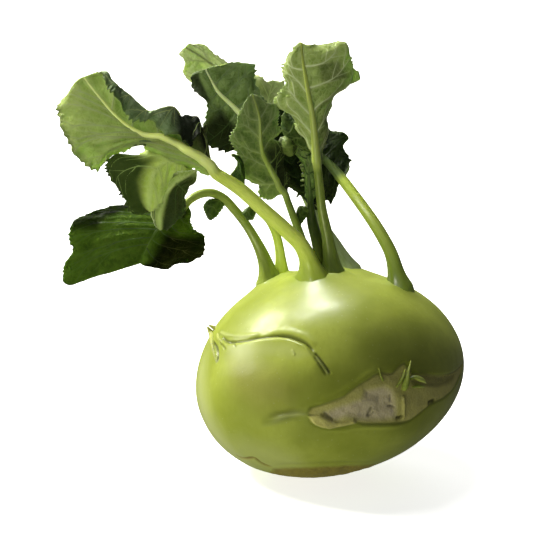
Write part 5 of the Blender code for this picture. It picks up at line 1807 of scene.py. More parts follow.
BLADES: dict[str, BladeShape] = {
    "left_front": BladeShape(
        rib=(
            (-34, -30, 119), (-39, -33, 124), (-43, -35, 127), (-47, -36, 130), (-53, -38, 133),
            (-59, -39, 134), (-64, -40, 137), (-68, -41, 141), (-72, -42, 146), (-78, -43, 154),
        ),
        left=(
            (0, (-34.5, -29, 121), (-35, -28, 123)), (0.5, (-36.5, -29, 128), (-37, -31, 135)),
            (1, (-39, -31, 138), (-39, -38, 133)), (1.4, (-42, -33, 139), (-41, -40, 129.5)),
            (2.2, (-45, -36, 139.5), (-46, -41, 132)), (2.8, (-47, -38, 143), (-51, -43, 135)),
            (3.4, (-50, -40, 143), (-55, -45, 138)), (4.2, (-55, -42, 142), (-58, -47, 138)),
            (5, (-58, -43, 144), (-62, -48, 140)), (6, (-62, -44, 148), (-65, -49, 143)),
            (7, (-65, -45, 150), (-66, -49, 146)), (8, (-68, -45, 153), (-70, -48, 150.5)),
            (8.7, (-71, -45, 156), (-72, -47, 155)), (9, (-75, -44, 155), (-73, -45, 156)),
        ),
        right=(
            (0, (-35, -30, 118), (-36, -30, 117.5)), (0.5, (-38.5, -32, 121), (-41, -31, 119.5)),
            (1, (-43, -34, 124), (-47.5, -32, 122.5)), (1.5, (-48, -36, 126.5), (-53, -34, 125.5)),
            (2, (-52, -37, 129), (-57.5, -36, 127.8)), (2.3, (-55, -38, 130.5), (-60, -37, 128.3)),
            (2.5, (-57.5, -38, 131), (-63, -37, 127)), (2.7, (-60.5, -39, 131.3), (-67, -36, 125.5)),
            (2.85, (-63, -40, 131), (-71, -35, 124.5)), (3, (-65, -40, 130.5), (-73.5, -34, 122)),
            (3.15, (-66.5, -41, 130.5), (-74.5, -34, 119.5)), (3.4, (-68.5, -41, 131), (-77, -35, 120.5)),
            (3.8, (-71, -42, 132), (-79.5, -35, 123)), (4.3, (-73, -42, 134), (-82.5, -36, 126)),
            (4.9, (-74.5, -43, 136), (-84, -37, 129)), (5.6, (-76.5, -43, 139), (-85.5, -38, 133)),
            (6.3, (-78, -43, 142), (-86.5, -38, 137.5)), (7, (-79.5, -43, 145), (-88, -39, 142.5)),
            (7.7, (-80, -43, 147.5), (-86.5, -40, 145.8)), (8.4, (-80, -43, 150.5), (-83.5, -41, 149)),
            (9, (-79, -43, 153.6), (-80, -43, 153)),
        ),
    ),
    "left_drooping": BladeShape(
        rib=(
            (-45, -3.5, 102.7), (-48, -4, 99), (-52, -5, 96), (-55.5, -6, 93.5), (-58, -7, 90),
            (-60, -7, 86), (-62, -7, 81),
        ),
        left=(
            (0, (-44.5, -3, 102), (-44, -2, 101)), (1, (-46, -2, 96.5), (-43, 2, 94.5)),
            (2, (-48, -3, 92.5), (-43, 5, 91)), (3, (-50, -4, 90), (-38.5, 8, 87)),
            (3.8, (-51, -4, 87), (-38, 8, 85)), (4.6, (-53, -5, 84), (-41, 7, 80.5)),
            (5.4, (-56, -6, 80.5), (-50, 3, 78)), (6, (-60, -7, 80), (-57, -5, 79.5)),
        ),
        right=(
            (0, (-46, -3, 103), (-47, -2, 104)), (0.5, (-51, -2, 102), (-57, 0, 103)),
            (1.1, (-58, -1, 101), (-69, 1, 101)), (1.9, (-66, -2, 98), (-80, 0, 99)),
            (2.7, (-70, -4, 95.5), (-87, -1, 95.5)), (3.5, (-71, -5, 92), (-88.5, -2, 91)),
            (4.2, (-72, -6, 89), (-87.5, -3, 85)), (4.9, (-73, -6, 84.5), (-89.5, -3, 79.5)),
            (5.4, (-72, -6, 81.5), (-88.5, -3, 73.5)), (5.8, (-70, -6, 80), (-79, -4, 75.5)),
            (6, (-65, -6.5, 80), (-68, -6, 79)),
        ),
    ),
    "left_thin": BladeShape(
        rib=(
            (-24, -9, 109.5), (-24, -10, 113), (-24.5, -11, 116), (-25, -11, 119), (-26.5, -11, 121.5),
            (-28, -11, 122.5),
        ),
        left=(
            (0, (-24.5, -9, 110), (-25.5, -9, 110.5)), (1, (-26, -9, 113), (-28.5, -7, 113.5)),
            (2, (-25.5, -10, 116), (-27, -9, 116.5)), (3, (-25.5, -10.5, 119), (-26, -10, 119)),
            (4, (-26.5, -11, 121), (-27, -11, 121)), (5, (-28, -11, 122), (-28, -11, 122)),
        ),
        right=(
            (0, (-23.5, -9, 109.5), (-23.5, -9, 110)), (1, (-23.5, -9, 113), (-23, -8, 113)),
            (2, (-23.5, -10, 116.5), (-23, -9, 116.5)), (3, (-24, -10.5, 119.5), (-23.5, -10, 119.5)),
            (4, (-25.5, -11, 121.5), (-25, -10.5, 122)), (5, (-27.5, -11, 122.5), (-27.5, -11, 122.6)),
        ),
    ),
    "middle": BladeShape(
        rib=(
            (-8.5, -4.2, 106.3), (-10.5, -5, 109.5), (-12.5, -6, 113.5), (-14.7, -7, 118), (-16.5, -9, 122),
            (-17.2, -11, 126), (-17.5, -12, 131), (-17.8, -13, 136), (-19, -13, 140.5), (-20.5, -13, 144.8),
        ),
        left=(
            (0, (-8, -3, 106.6), (-7.5, -2, 107)), (1, (-9, -4, 110.5), (-7, -1, 111)),
            (2, (-10.5, -4, 115), (-8.5, -1, 116.5)), (3, (-12, -5, 119.5), (-9, -1, 121)),
            (3.7, (-12.5, -6, 122.5), (-8.5, -2, 123.5)), (4.3, (-14, -8, 125.5), (-11.5, -5, 126)),
            (4.7, (-15, -9, 127), (-13.5, -8, 127.8)), (5.1, (-14.3, -10, 128.5), (-11, -9, 129.5)),
            (5.8, (-14.2, -11, 131.5), (-11.3, -10, 133)), (6.6, (-14.3, -11.5, 135.5), (-11, -11, 137.3)),
            (7.3, (-14.8, -12, 139), (-11.5, -11, 140.6)), (7.9, (-16.5, -12.5, 141), (-14.5, -12, 141.2)),
            (8.5, (-18.3, -13, 142.8), (-17.2, -12.5, 142.8)), (9, (-20.2, -13, 144.5), (-20, -13, 144.5)),
        ),
        right=(
            (0, (-9.5, -4, 106.5), (-10.5, -3, 106.3)), (0.5, (-12, -4, 106.5), (-14.5, -1, 104)),
            (1, (-14, -4, 108), (-17.5, -2, 106)), (1.6, (-15, -5, 110.5), (-16.5, -2, 110)),
            (2.3, (-17.5, -5, 113), (-21, -3, 112.5)), (3, (-19.5, -6, 116.5), (-23.5, -4, 115)),
            (3.6, (-20.5, -7, 120), (-24, -5, 119)), (4.3, (-22, -8, 124), (-26.5, -5, 124)),
            (5, (-22.5, -9, 127), (-28, -6, 127)), (5.8, (-22, -10, 130.5), (-26, -7, 131)),
            (6.6, (-21.5, -11, 134), (-25, -9, 134)), (7.4, (-21.5, -12, 138), (-24, -10, 138.5)),
            (8.2, (-21.3, -13, 141.5), (-22.5, -12, 142)), (9, (-20.8, -13, 144.4), (-21, -13, 144.2)),
        ),
    ),
    "upright": BladeShape(
        rib=(
            (3.3, -10, 117.5), (2.5, -11, 124), (1.9, -12, 130), (1.2, -13, 137), (0, -14, 144),
            (-1.2, -14, 151), (-2.2, -13, 157), (-3, -12, 163),
        ),
        left=(
            (0, (4.5, -9, 118), (5.5, -8, 119)), (0.8, (5, -9, 124), (7, -5, 126)),
            (1.6, (5, -10, 129), (7.5, -5, 131)), (2.3, (4.5, -11, 134), (6.5, -5, 136)),
            (2.8, (5, -12, 138), (9, -5, 139)), (3.3, (6, -12, 141.5), (12, -5, 142.5)),
            (3.8, (8, -12, 144.5), (16, -4, 145)), (4.2, (9, -12, 147), (19, -3, 148)),
            (4.6, (8.5, -12, 149.5), (18.5, -4, 151)), (5, (7.5, -13, 152), (15.5, -6, 153.5)),
            (5.5, (6.5, -13, 155), (13.5, -7, 156.5)), (6.1, (5, -13, 158.5), (12, -8, 160.5)),
            (6.5, (4, -12.5, 159.5), (8, -9, 160.4)), (6.8, (-0.5, -12, 160.8), (1.5, -10.5, 160.4)),
            (7, (-2.6, -12, 162.8), (-2.2, -12, 162.6)),
        ),
        right=(
            (0, (2.2, -9, 118), (1.2, -9, 119)), (0.8, (0.5, -10, 125), (-0.5, -8, 127)),
            (1.5, (-0.5, -11, 129.5), (-3, -7, 131)), (2.2, (-1.5, -12, 133), (-5, -8, 136)),
            (2.8, (-3, -13, 137), (-7, -9, 139.5)), (3.3, (-5.5, -13, 140.5), (-12.5, -9, 141)),
            (3.9, (-5, -13, 144.5), (-9.8, -10, 144.5)), (4.5, (-5, -13, 148.5), (-8.3, -11, 147.5)),
            (5.2, (-5.8, -13, 152), (-10, -11, 151)), (5.8, (-6, -13, 155), (-11, -11, 154.5)),
            (6.3, (-5.5, -13, 158), (-9, -11, 157.5)), (6.7, (-4.3, -13, 160.5), (-6, -12, 160.5)),
            (7, (-3.4, -12, 163), (-3.8, -12, 162.5)),
        ),
    ),
    "right": BladeShape(
        rib=(
            (13.3, 7.2, 109.9), (9.5, 11, 114), (5, 14, 118), (0.5, 16, 121.5), (-3, 17, 125),
            (-6, 18, 128), (-8.5, 19, 132),
        ),
        left=(
            (0, (12.5, 8, 109.5), (11.5, 8.5, 108.5)), (0.7, (10, 10, 107), (10.5, 10, 102.5)),
            (1.4, (7, 12, 109), (7.5, 12, 101.5)), (2, (4, 14, 112), (4.5, 14, 107)),
            (2.8, (0, 16, 116), (0, 16, 112)), (3.6, (-3.5, 17, 119.5), (-4, 17, 116)),
            (4.4, (-6, 18, 123), (-7.5, 17.5, 120)), (5.2, (-8, 18, 127), (-10, 18, 125)),
            (6, (-9, 19, 131.5), (-9.5, 19, 131)),
        ),
        right=(
            (0, (14, 8, 111), (15, 8.5, 112.5)), (0.6, (14.5, 11, 113), (16.5, 12, 114.5)),
            (1.2, (12.5, 13, 116.5), (16.5, 15, 116.5)), (1.8, (10, 14, 119.5), (14, 16, 119.5)),
            (2.4, (9, 15, 122), (13.5, 16, 122)), (2.9, (8.5, 16, 124), (15.8, 17, 124.3)),
            (3.5, (6, 17, 126), (12.5, 18, 126.5)), (4.2, (2.5, 18, 128), (8.5, 19, 127.5)),
            (5, (-2, 19, 130), (3, 20, 130.5)), (5.6, (-5.5, 19.5, 131.5), (-2, 20, 132.5)),
            (6, (-8, 19, 132.5), (-7.5, 19, 133)),
        ),
    ),
    "back": BladeShape(
        rib=(
            (-18, 12, 127.3), (-24.5, 13, 133.5), (-29, 13, 138), (-33, 12, 142), (-35.5, 12, 146),
            (-38, 12, 151),
        ),
        left=(
            (0, (-19.3, 12, 126.5), (-20.5, 12, 126)), (0.6, (-24, 12, 127), (-26, 13, 121)),
            (1.1, (-27, 12, 127.5), (-32, 14, 119.5)), (1.6, (-30.5, 12, 129), (-37, 14, 121)),
            (2.1, (-32.5, 12, 132), (-39.5, 13, 126)), (2.6, (-34, 12, 135.5), (-39, 12, 132)),
            (3.1, (-35.5, 12, 138.5), (-38.5, 11, 138)), (3.7, (-37, 11.5, 142), (-40.5, 12, 141)),
            (4.3, (-38.5, 11.5, 146), (-43, 14, 144)), (4.7, (-39.5, 12, 148.5), (-43, 14, 147.5)),
            (5, (-39.5, 12, 150.5), (-41.5, 13, 150)),
        ),
        right=(
            (0, (-17, 12.5, 128.5), (-16, 13, 129.5)), (0.7, (-17.5, 13, 133), (-14.5, 15, 134)),
            (1.4, (-19.5, 14, 138), (-16, 17, 139)), (2.1, (-22, 14, 142), (-18, 18, 143)),
            (2.8, (-25, 14, 146), (-19.5, 18, 148)), (3.5, (-28, 14, 149), (-20.5, 17, 152.5)),
            (4.2, (-31, 14, 151), (-25, 16, 153.5)), (5, (-36.5, 13, 151.5), (-35, 13, 152)),
        ),
    ),
    "rear": BladeShape(
        rib=(
            (-4, 25, 121), (-10, 26, 127), (-18, 27, 136), (-28, 27, 145), (-38, 26, 152.5), (-46, 24, 158),
        ),
        left=(
            (0, (-3.4, 25, 122), (-3, 25, 123)), (0.7, (-7, 26, 129), (-4, 26, 133)),
            (1.3, (-11, 27, 134), (-7, 27, 139)), (1.8, (-14, 28, 138), (-9.5, 28, 144)),
            (2.2, (-17, 28, 142), (-14, 29, 145.5)), (2.7, (-21, 28, 145), (-19, 30, 146)),
            (3.3, (-28, 28, 149), (-27, 30, 150)), (3.9, (-36, 27, 154), (-35, 28, 155.5)),
            (4.5, (-41, 26, 157), (-40, 27, 159)), (5, (-45.5, 24, 158.7), (-44.5, 24, 159.3)),
        ),
        right=(
            (0, (-5, 25, 120.6), (-6, 25, 120.2)), (1, (-13, 26, 125), (-16, 25, 123)),
            (2, (-22, 26, 133), (-26, 25, 130)), (2.8, (-30, 26, 140), (-34, 25, 138)),
            (3.4, (-36, 25, 146), (-42, 24, 144)), (3.9, (-41, 25, 149.5), (-47, 23, 148.5)),
            (4.4, (-44, 24, 153.5), (-46.5, 23, 152.5)), (4.8, (-46, 24, 156), (-48.2, 23, 155.5)),
            (5, (-46.7, 24, 157.6), (-47.3, 24, 157.2)),
        ),
    ),
    "heart": BladeShape(
        rib=((1, -1.5, 103.4), (0.5, -2, 110), (0.2, -2.5, 117), (-1.5, -3, 123), (-3.2, -3, 127)),
        left=(
            (0, (0, -1, 104), (-1, 0, 105)), (0.7, (-1, -1, 109), (-2.3, 1, 110)),
            (1.3, (-1, -1.5, 112), (-2, 0, 113.5)), (1.9, (-1.5, -2, 117), (-3, 0, 117)),
            (2.3, (-3, -2, 119.5), (-5.3, 0, 120)), (2.8, (-2.8, -2.5, 121.5), (-4.3, -1, 122.5)),
            (3.4, (-3, -3, 124.5), (-3.8, -2, 125)), (4, (-3.4, -3, 127), (-3.6, -3, 127)),
        ),
        right=(
            (0, (2, -1, 104), (3, 0, 105)), (1, (3, -1, 110), (5, 2, 111)),
            (2, (2.5, -2, 117), (4.5, 1, 118.5)), (3, (0.5, -2.5, 123), (2, -1, 124)),
            (4, (-3, -3, 127), (-2.8, -3, 127)),
        ),
    ),
}

SIDE_LOBES: dict[str, BladeShape] = {
    "left_front_lobe": BladeShape(
        rib=(
            (-42.5, -29, 121), (-47, -32, 122.5), (-51, -35, 123), (-54, -38, 121), (-55.5, -40, 117.5),
            (-56, -41, 113.5), (-56.5, -41, 110), (-56.5, -40, 106.5),
        ),
        left=(
            (0, (-42.5, -29, 121), (-42.5, -29, 121.5)), (1, (-48.5, -32, 124), (-50, -31.5, 125.5)),
            (1.8, (-52.5, -34.5, 125.5), (-55, -33, 127)), (2.4, (-56, -37, 125.5), (-61, -36, 127)),
            (3, (-59, -39, 124.5), (-65.5, -37.5, 125.5)), (3.5, (-61.5, -40, 123.5), (-70, -38, 124.5)),
            (4, (-62.5, -41, 121.5), (-72.5, -39, 123)), (4.5, (-63.5, -42, 119), (-72, -40, 119.5)),
            (5, (-63, -42, 116), (-70, -41, 116.5)), (5.6, (-62, -42, 113), (-67.5, -42, 112.5)),
            (6.2, (-60.5, -42, 110), (-64.5, -42, 109)), (6.7, (-58.5, -41, 107.5), (-60.5, -41, 106)),
            (7, (-56.5, -40, 106.5), (-57.5, -40, 106)),
        ),
        right=(
            (0, (-42, -29, 120.5), (-41.5, -29, 120)), (1, (-45, -31, 120), (-42.5, -30, 118)),
            (2, (-48, -33, 119), (-44.5, -31, 116.5)), (3, (-50.5, -36, 117.5), (-47, -34, 115)),
            (4, (-52, -38.5, 115.5), (-49.5, -37, 113.5)), (5, (-53.5, -40, 112.5), (-51.5, -39, 111.5)),
            (6, (-54.5, -40.5, 109.5), (-53, -40, 109)), (7, (-56, -40, 106.5), (-55.5, -40, 106.5)),
        ),
    ),
    "left_front_fold": BladeShape(
        rib=(
            (-40, -29, 119), (-43.5, -32, 117.5), (-47.5, -34, 115.5), (-50.5, -35, 112), (-52, -35, 108),
            (-53, -34, 103), (-53, -33, 98.5),
        ),
        left=(
            (0, (-40.5, -29, 119.5), (-40.5, -29, 119.5)), (1, (-44.5, -33, 118.5), (-45.5, -34, 119.5)),
            (2, (-49, -34, 116.5), (-50.5, -33, 117)), (3, (-51.5, -34.5, 113), (-53, -33.5, 113)),
            (4, (-54, -34.5, 108.5), (-55.5, -33.5, 108.5)), (5, (-54.5, -34, 104), (-55.5, -33, 104.5)),
            (6, (-53.5, -33, 99), (-54.5, -33, 99.5)),
        ),
        right=(
            (0, (-40, -29, 119), (-40, -29, 118.5)), (1, (-42.5, -31, 117), (-41, -28, 115.5)),
            (2, (-45.5, -32, 115), (-43.5, -28, 113.5)), (3, (-47.5, -32, 112), (-44.5, -27, 110.5)),
            (4, (-48.5, -32, 107.5), (-44.5, -27, 106.5)), (5, (-49.5, -31, 103), (-46, -28, 102.5)),
            (6, (-51.5, -32, 98.5), (-50.5, -32, 98)),
        ),
    ),
    "upright_wing": BladeShape(
        rib=(
            (1, -7, 123), (-1, -6.5, 126), (-4, -6, 128.5), (-6.5, -5, 131), (-8.5, -4, 133.5),
            (-9, -3, 136),
        ),
        left=(
            (0, (1.5, -8, 125), (2, -8, 127)), (1, (0, -7, 129), (1.5, -6, 131.5)),
            (2, (-1.5, -6, 131.5), (0.5, -5, 134)), (3, (-4, -5, 134), (-2.5, -4, 135.5)),
            (4, (-6.5, -4, 135.5), (-5, -2, 136.5)), (5, (-9, -3, 136.5), (-8.5, -3, 137)),
        ),
        right=(
            (0, (1, -7, 122.5), (1, -6, 122)), (1, (-2, -6, 124.5), (-2.5, -5, 123.5)),
            (2, (-4.5, -6, 127.5), (-5.5, -5, 125.5)), (3, (-7.5, -5, 129.5), (-8.5, -4, 127.5)),
            (4, (-9, -4, 132.5), (-10, -3, 131)), (5, (-9.5, -3, 135.5), (-10, -3, 135.5)),
        ),
    ),
    "young_dark": BladeShape(
        rib=(
            (4.5, 4, 99), (0.5, 4, 104.5), (-3, 3.5, 110), (-5.5, 3, 115.5), (-7.5, 2, 122),
            (-9.5, 2, 128.5), (-10.5, 1.5, 134), (-11.5, 1, 138),
        ),
        left=(
            (0, (3.5, 5, 99), (3, 5, 99)), (1, (-1.5, 5, 104), (-3.5, 7, 103.5)),
            (2, (-6, 4, 109), (-9, 6, 108.5)), (3, (-9, 3, 115), (-12.5, 6, 114.5)),
            (4, (-11.5, 3, 122), (-15.5, 5, 121.5)), (5, (-13, 3, 128), (-16, 5, 128.5)),
            (6, (-13.5, 2, 134.5), (-16, 4, 135)), (7, (-12, 1, 138), (-13, 1, 138)),
        ),
        right=(
            (0, (4.5, 5, 99.5), (5, 5, 99.5)), (1, (3, 6, 105.5), (6.5, 8, 106.5)),
            (2, (1.5, 5, 112), (5.5, 8, 112.5)), (3, (-1, 4, 118), (3.5, 7, 119)),
            (4, (-3, 3, 124.5), (1.5, 6, 125.5)), (5, (-6, 3, 130.5), (-3, 5, 131.5)),
            (6, (-9, 2, 135.5), (-7, 4, 136.5)), (7, (-11, 1, 138.5), (-10.5, 1, 139)),
        ),
    ),
    "young_bud": BladeShape(
        rib=((-6.5, -3, 120.5), (-7, -5.5, 123), (-7.5, -7, 125), (-8, -6.5, 126.5), (-8, -4.5, 128)),
        left=(
            (0, (-5.5, -3, 121), (-5.5, -3, 121.5)), (1, (-6, -5, 122.5), (-5, -3, 123)),
            (2, (-6, -6, 124.5), (-5, -3.5, 124.5)), (3, (-6.5, -5.5, 126.5), (-5, -3.5, 126.5)),
            (4, (-7, -4.5, 128), (-6.5, -4, 127.5)),
        ),
        right=(
            (0, (-6.5, -3, 120.5), (-7, -3, 120.5)), (1, (-8.5, -5, 122.5), (-9, -3, 122)),
            (2, (-9, -6, 124.5), (-10, -3.5, 124.5)), (3, (-9, -5.5, 126.5), (-10, -3.5, 126.5)),
            (4, (-8.5, -4.5, 128), (-8.5, -4, 127.5)),
        ),
    ),
}

LOBE_NODES = {"left_front_fold": "leaflet_left_front"}

FIRST_LEAFLET_SEED = 60
LEAFLET_GROWTH: dict[str, float] = dict(
    rows=70, columns=31, laterals=3, tooth=0.55, tooth_pitch=1.2, lobing=1.2, ripple=0.5, ripple_length=3.0,
    quilt=0.2, frill=0.3, vein_radius=0.1, thickness=0.4,
)

LEAFLETS: dict[str, BladeShape] = {
    "left_drooping": BladeShape(
        rib=((-31.4, 1.8, 103.8), (-34, -1, 102), (-35.8, -2.5, 99.5), (-36.3, -3, 96.5)),
        left=(
            (0, (-31.2, 1.6, 103.4), (-30.6, 1.4, 102.8)), (1, (-33, -0.2, 101), (-31.6, 0.6, 100)),
            (2, (-34.7, -1.5, 98.7), (-33.4, 0, 98)), (3, (-36, -2.8, 96.5), (-35.6, -2.5, 96.4)),
        ),
        right=(
            (0, (-31.8, 1.7, 104), (-32.4, 1.6, 104.4)), (1, (-35, -1.5, 103), (-36.6, -1.2, 104.2)),
            (2, (-37, -2.2, 100.3), (-38.6, -1.2, 101.3)), (3, (-36.5, -2.9, 96.6), (-36.9, -2.5, 96.8)),
        ),
    ),
    "left_thin": BladeShape(
        rib=((-19.5, 0.3, 100.8), (-21.3, -1.2, 99.6), (-22.6, -1.4, 98), (-22.2, -1.2, 96.2)),
        left=(
            (0, (-19.2, 0.2, 100.4), (-18.9, 0, 99.9)), (1, (-20.8, -1.4, 98.8), (-20, -0.6, 97.9)),
            (2, (-21.6, -1.8, 97.4), (-20.4, -1.2, 97)), (3, (-21.9, -1.3, 96.2), (-21.6, -1.2, 96.2)),
        ),
        right=(
            (0, (-19.9, 0.1, 101.1), (-20.3, -0.1, 101.5)), (1, (-22, -1.2, 100.4), (-22.8, -0.6, 101.2)),
            (2, (-23.6, -1.6, 98.5), (-24.6, -0.8, 98.8)), (3, (-22.5, -1.3, 96.2), (-22.9, -1.2, 96.4)),
        ),
    ),
    "middle": BladeShape(
        rib=((-4, -2.8, 95), (-3.1, -2.6, 97.5), (-1.9, -2.6, 99.6), (-0.3, -3, 101)),
        left=(
            (0, (-4.1, -2.7, 95.6), (-4.4, -2.8, 96.4)), (1, (-3.6, -2.4, 98.4), (-4, -1.8, 99.6)),
            (2, (-2.5, -2.4, 100.5), (-3, -1.8, 101.6)), (3, (-0.6, -3, 101.4), (-0.8, -3, 101.6)),
        ),
        right=(
            (0, (-3.8, -2.7, 94.6), (-3.6, -2.6, 94)), (1, (-2.2, -2.2, 96.8), (-1.4, -1.4, 96)),
            (2, (-1, -2.2, 98.9), (0.1, -1.4, 98)), (3, (0, -3, 100.6), (0.3, -3, 100.4)),
        ),
    ),
}

# ------------------------------------------------------------------------------------------- small parts


@dataclass
class SurfaceSprig:
    """Small ridges and spikes that sit on the bulb's front, each a tapering tube.

    A point is (x, z, stand, radius): its place from the front, how far its centre stands off the bulb and
    its radius.
    """

    name: str
    node: str
    slot: Slot
    finish: SmallTissue
    routes: tuple[tuple[Section, ...], ...]
    sides: int = 14
    ribs: float = 3.0
    rib_height: float = 0.12
    step: float = 0.25
    least_radius: float = 0.08

    def dress(self, bulb: Bulb, sweep: bpy.types.NodeTree) -> None:
        """Builds the sprig and registers it."""
        tubes = []
        for route in self.routes:
            rows = np.asarray(route, float)
            places = bulb.on_front(rows[:, :2])
            places[:, 1] -= rows[:, 2]
            fine = smooth_route(np.column_stack([places, rows[:, 3]]), self.step)
            fine[:, 3] = np.maximum(fine[:, 3], self.least_radius)
            tubes.append(np.column_stack([fine, np.linspace(0.0, 1.0, len(fine))]))
        piece = swept(
            self.name, tubes, sweep, self.finish.build(), self.sides, self.ribs, self.rib_height
        )
        register(piece, self.slot, self.node)


OLD_STUB = SurfaceSprig(
    "dried_stub", "stub_left", Slot.STUB, SmallTissue("stub", "b5c04e", "8f9a3c", "c3c66c", 0.55),
    (
        (
            (-33.4, 46.5, 0, 0.4), (-34.4, 49, 0.1, 0.8), (-35.4, 51.5, 0.3, 1.0), (-36.6, 53.6, 0.4, 0.9),
            (-37.6, 55.2, 0.4, 0.3),
        ),
        ((-30.5, 53, 0, 0.4), (-32.6, 53.9, 0.2, 0.8), (-34.8, 54.8, 0.3, 0.9), (-37, 55.8, 0.3, 0.3)),
    ),
)
SIDE_SHOOT = SurfaceSprig(
    "side_shoot", "shoot_right", Slot.SHOOT, SmallTissue("shoot", "a9bd45", "86a02e", "ccd874", 0.45),
    (
        (
            (33.8, 42, 0, 0.8), (34.4, 44, 0.4, 1.3), (35, 46.3, 0.8, 1.1), (35.3, 48.2, 1.0, 0.7),
            (35.8, 50.2, 1.4, 0.4), (36.3, 52.2, 1.8, 0.12),
        ),
        (
            (36, 46, 0.6, 0.5), (37.8, 46.3, 1.1, 0.7), (39.4, 45.6, 1.5, 0.9), (40.9, 44.6, 1.5, 0.7),
            (42, 43.5, 1.3, 0.15),
        ),
        ((37, 42.6, 0, 0.3), (38.6, 42.8, 0.3, 0.5), (40.2, 42.4, 0.3, 0.5), (41.8, 41.9, 0.1, 0.15)),
        ((26.2, 46.2, 0, 0.25), (25.2, 48.4, 0.4, 0.22), (24.6, 50.8, 0.7, 0.1)),
        ((31, 43.6, 0, 0.3), (32.6, 45.6, 0.3, 0.5), (33.8, 48, 0.6, 0.4), (34.2, 49.6, 0.8, 0.12)),
    ),
)

# ------------------------------------------------------------------------------------------------ studio


@dataclass(frozen=True)
class Lamp:
    """A soft sun, given by the direction towards it. It can shine on some pieces only."""

    name: str
    towards: Point
    strength: float
    angle: float
    colour: str = "ffffff"
    glossy: bool = True
    diffuse: bool = True
    only: tuple[str, ...] = ()
    spare: tuple[str, ...] = ()
    through_leaves: bool = False

    def flag(self, use: str, state: str, names: list[str]) -> bpy.types.Collection:
        """Gathers the pieces that the lamp is kept to, or kept from."""
        group = bpy.data.collections.new(f"{self.name}_{use}")
        for number, name in enumerate(names):
            group.objects.link(bpy.data.objects[name])
            group.collection_objects[number].light_linking.link_state = state
        return group

    def build(self) -> None:
        """Adds the lamp to the scene."""
        data = bpy.data.lights.new(self.name, "SUN")
        data.energy = self.strength
        data.angle = math.radians(self.angle)
        data.color = linear(self.colour)[:3]
        lamp = bpy.data.objects.new(self.name, data)
        lamp.visible_glossy = self.glossy
        lamp.visible_diffuse = self.diffuse
        x, y, z = self.towards
        tip = math.acos(z / math.sqrt(x * x + y * y + z * z))
        lamp.rotation_euler = (tip, 0.0, math.atan2(y, x) + math.pi / 2)
        bpy.context.scene.collection.objects.link(lamp)
        if self.only:
            lamp.light_linking.receiver_collection = self.flag("lights", "INCLUDE", list(self.only))
        if self.spare:
            lamp.light_linking.receiver_collection = self.flag("spares", "EXCLUDE", list(self.spare))
        if self.through_leaves:
            kinds = ("leaf_", "veins_", "stalk_")
            leaves = [piece.name for piece in bpy.data.objects if piece.name.startswith(kinds)]
            lamp.light_linking.blocker_collection = self.flag("passes", "EXCLUDE", leaves)


BULB_PIECES = ("kohlrabi_bulb", "dried_stub", "side_shoot")
BRIGHT_STALKS = ("stalk_left_front", "stalk_left_thin", "stalk_right")
ALL_STALKS = tuple("stalk_" + name for name in STEMS)


def leaf_pieces(*names: str) -> tuple[str, ...]:
    """Names the blades and veins of some leaves."""
    return tuple(kind + name for name in names for kind in ("leaf_", "veins_"))


PALE_LEAF_PIECES = leaf_pieces("left_front", "upright", "heart", "left_drooping")
REAR_LEAF_PIECES = leaf_pieces("back", "rear") + ("stalk_back",)
LOBE_PIECES = leaf_pieces("left_front_lobe", "left_front_fold")

LAMPS = (
    Lamp("key", (-0.62, 0.3, 0.72), 5.8, 20.0, "fffdf2", spare=BULB_PIECES),
    Lamp("top", (-0.17, 0.2, 0.96), 0.6, 12.0, spare=BULB_PIECES),
    Lamp("back", (0.0, 0.9, 0.4), 1.2, 40.0, glossy=False, spare=BULB_PIECES),
    Lamp("bounce", (-0.6, -0.5, -0.6), 1.1, 80.0, "fffdf0", glossy=False, spare=BULB_PIECES),
    Lamp("front", (0.0, -1.0, 0.1), 0.2, 60.0, glossy=False, spare=BULB_PIECES),
    Lamp("leaf_fill", (-0.45, -0.6, 0.66), 1.2, 40.0, glossy=False, only=PALE_LEAF_PIECES),
    Lamp("rear_fill", (-0.45, -0.6, 0.66), 1.85, 40.0, glossy=False, only=REAR_LEAF_PIECES),
    Lamp("lobe_fill", (0.2, -0.8, 0.5), 1.75, 40.0, glossy=False, only=LOBE_PIECES),
    Lamp("stalk_spot", (-0.35, -0.75, 0.45), 1.9, 20.0, "fffdf2", only=BRIGHT_STALKS),
    Lamp("stalk_gloss", (-0.2, -0.8, -0.45), 1.7, 16.0, "f2f6b8", diffuse=False, only=ALL_STALKS),
    Lamp("bulb_key", (-0.6, 0.35, 0.72), 2.3, 20.0, "fffdf2", only=BULB_PIECES, through_leaves=True),
    Lamp("bulb_side", (-0.92, 0.08, 0.38), 1.6, 30.0, "fffdf2", only=BULB_PIECES, through_leaves=True),
    Lamp("bulb_gloss", (-0.1, 0.4, 0.91), 1.45, 14.0, diffuse=False, only=BULB_PIECES, through_leaves=True),
    Lamp("bulb_top", (-0.3, 0.22, 0.93), 0.62, 12.0, only=BULB_PIECES, through_leaves=True),
    Lamp("bulb_crown", (0.0, 0.6, 0.8), 1.15, 30.0, glossy=False, only=BULB_PIECES, through_leaves=True),
    Lamp("bulb_back", (-0.1, 0.9, 0.4), 2.0, 40.0, glossy=False, only=BULB_PIECES, through_leaves=True),
    Lamp(
        "bulb_bounce", (-0.68, -0.42, -0.6), 1.6, 80.0, "fffdf0", False, only=BULB_PIECES,
        through_leaves=True,
    ),
)


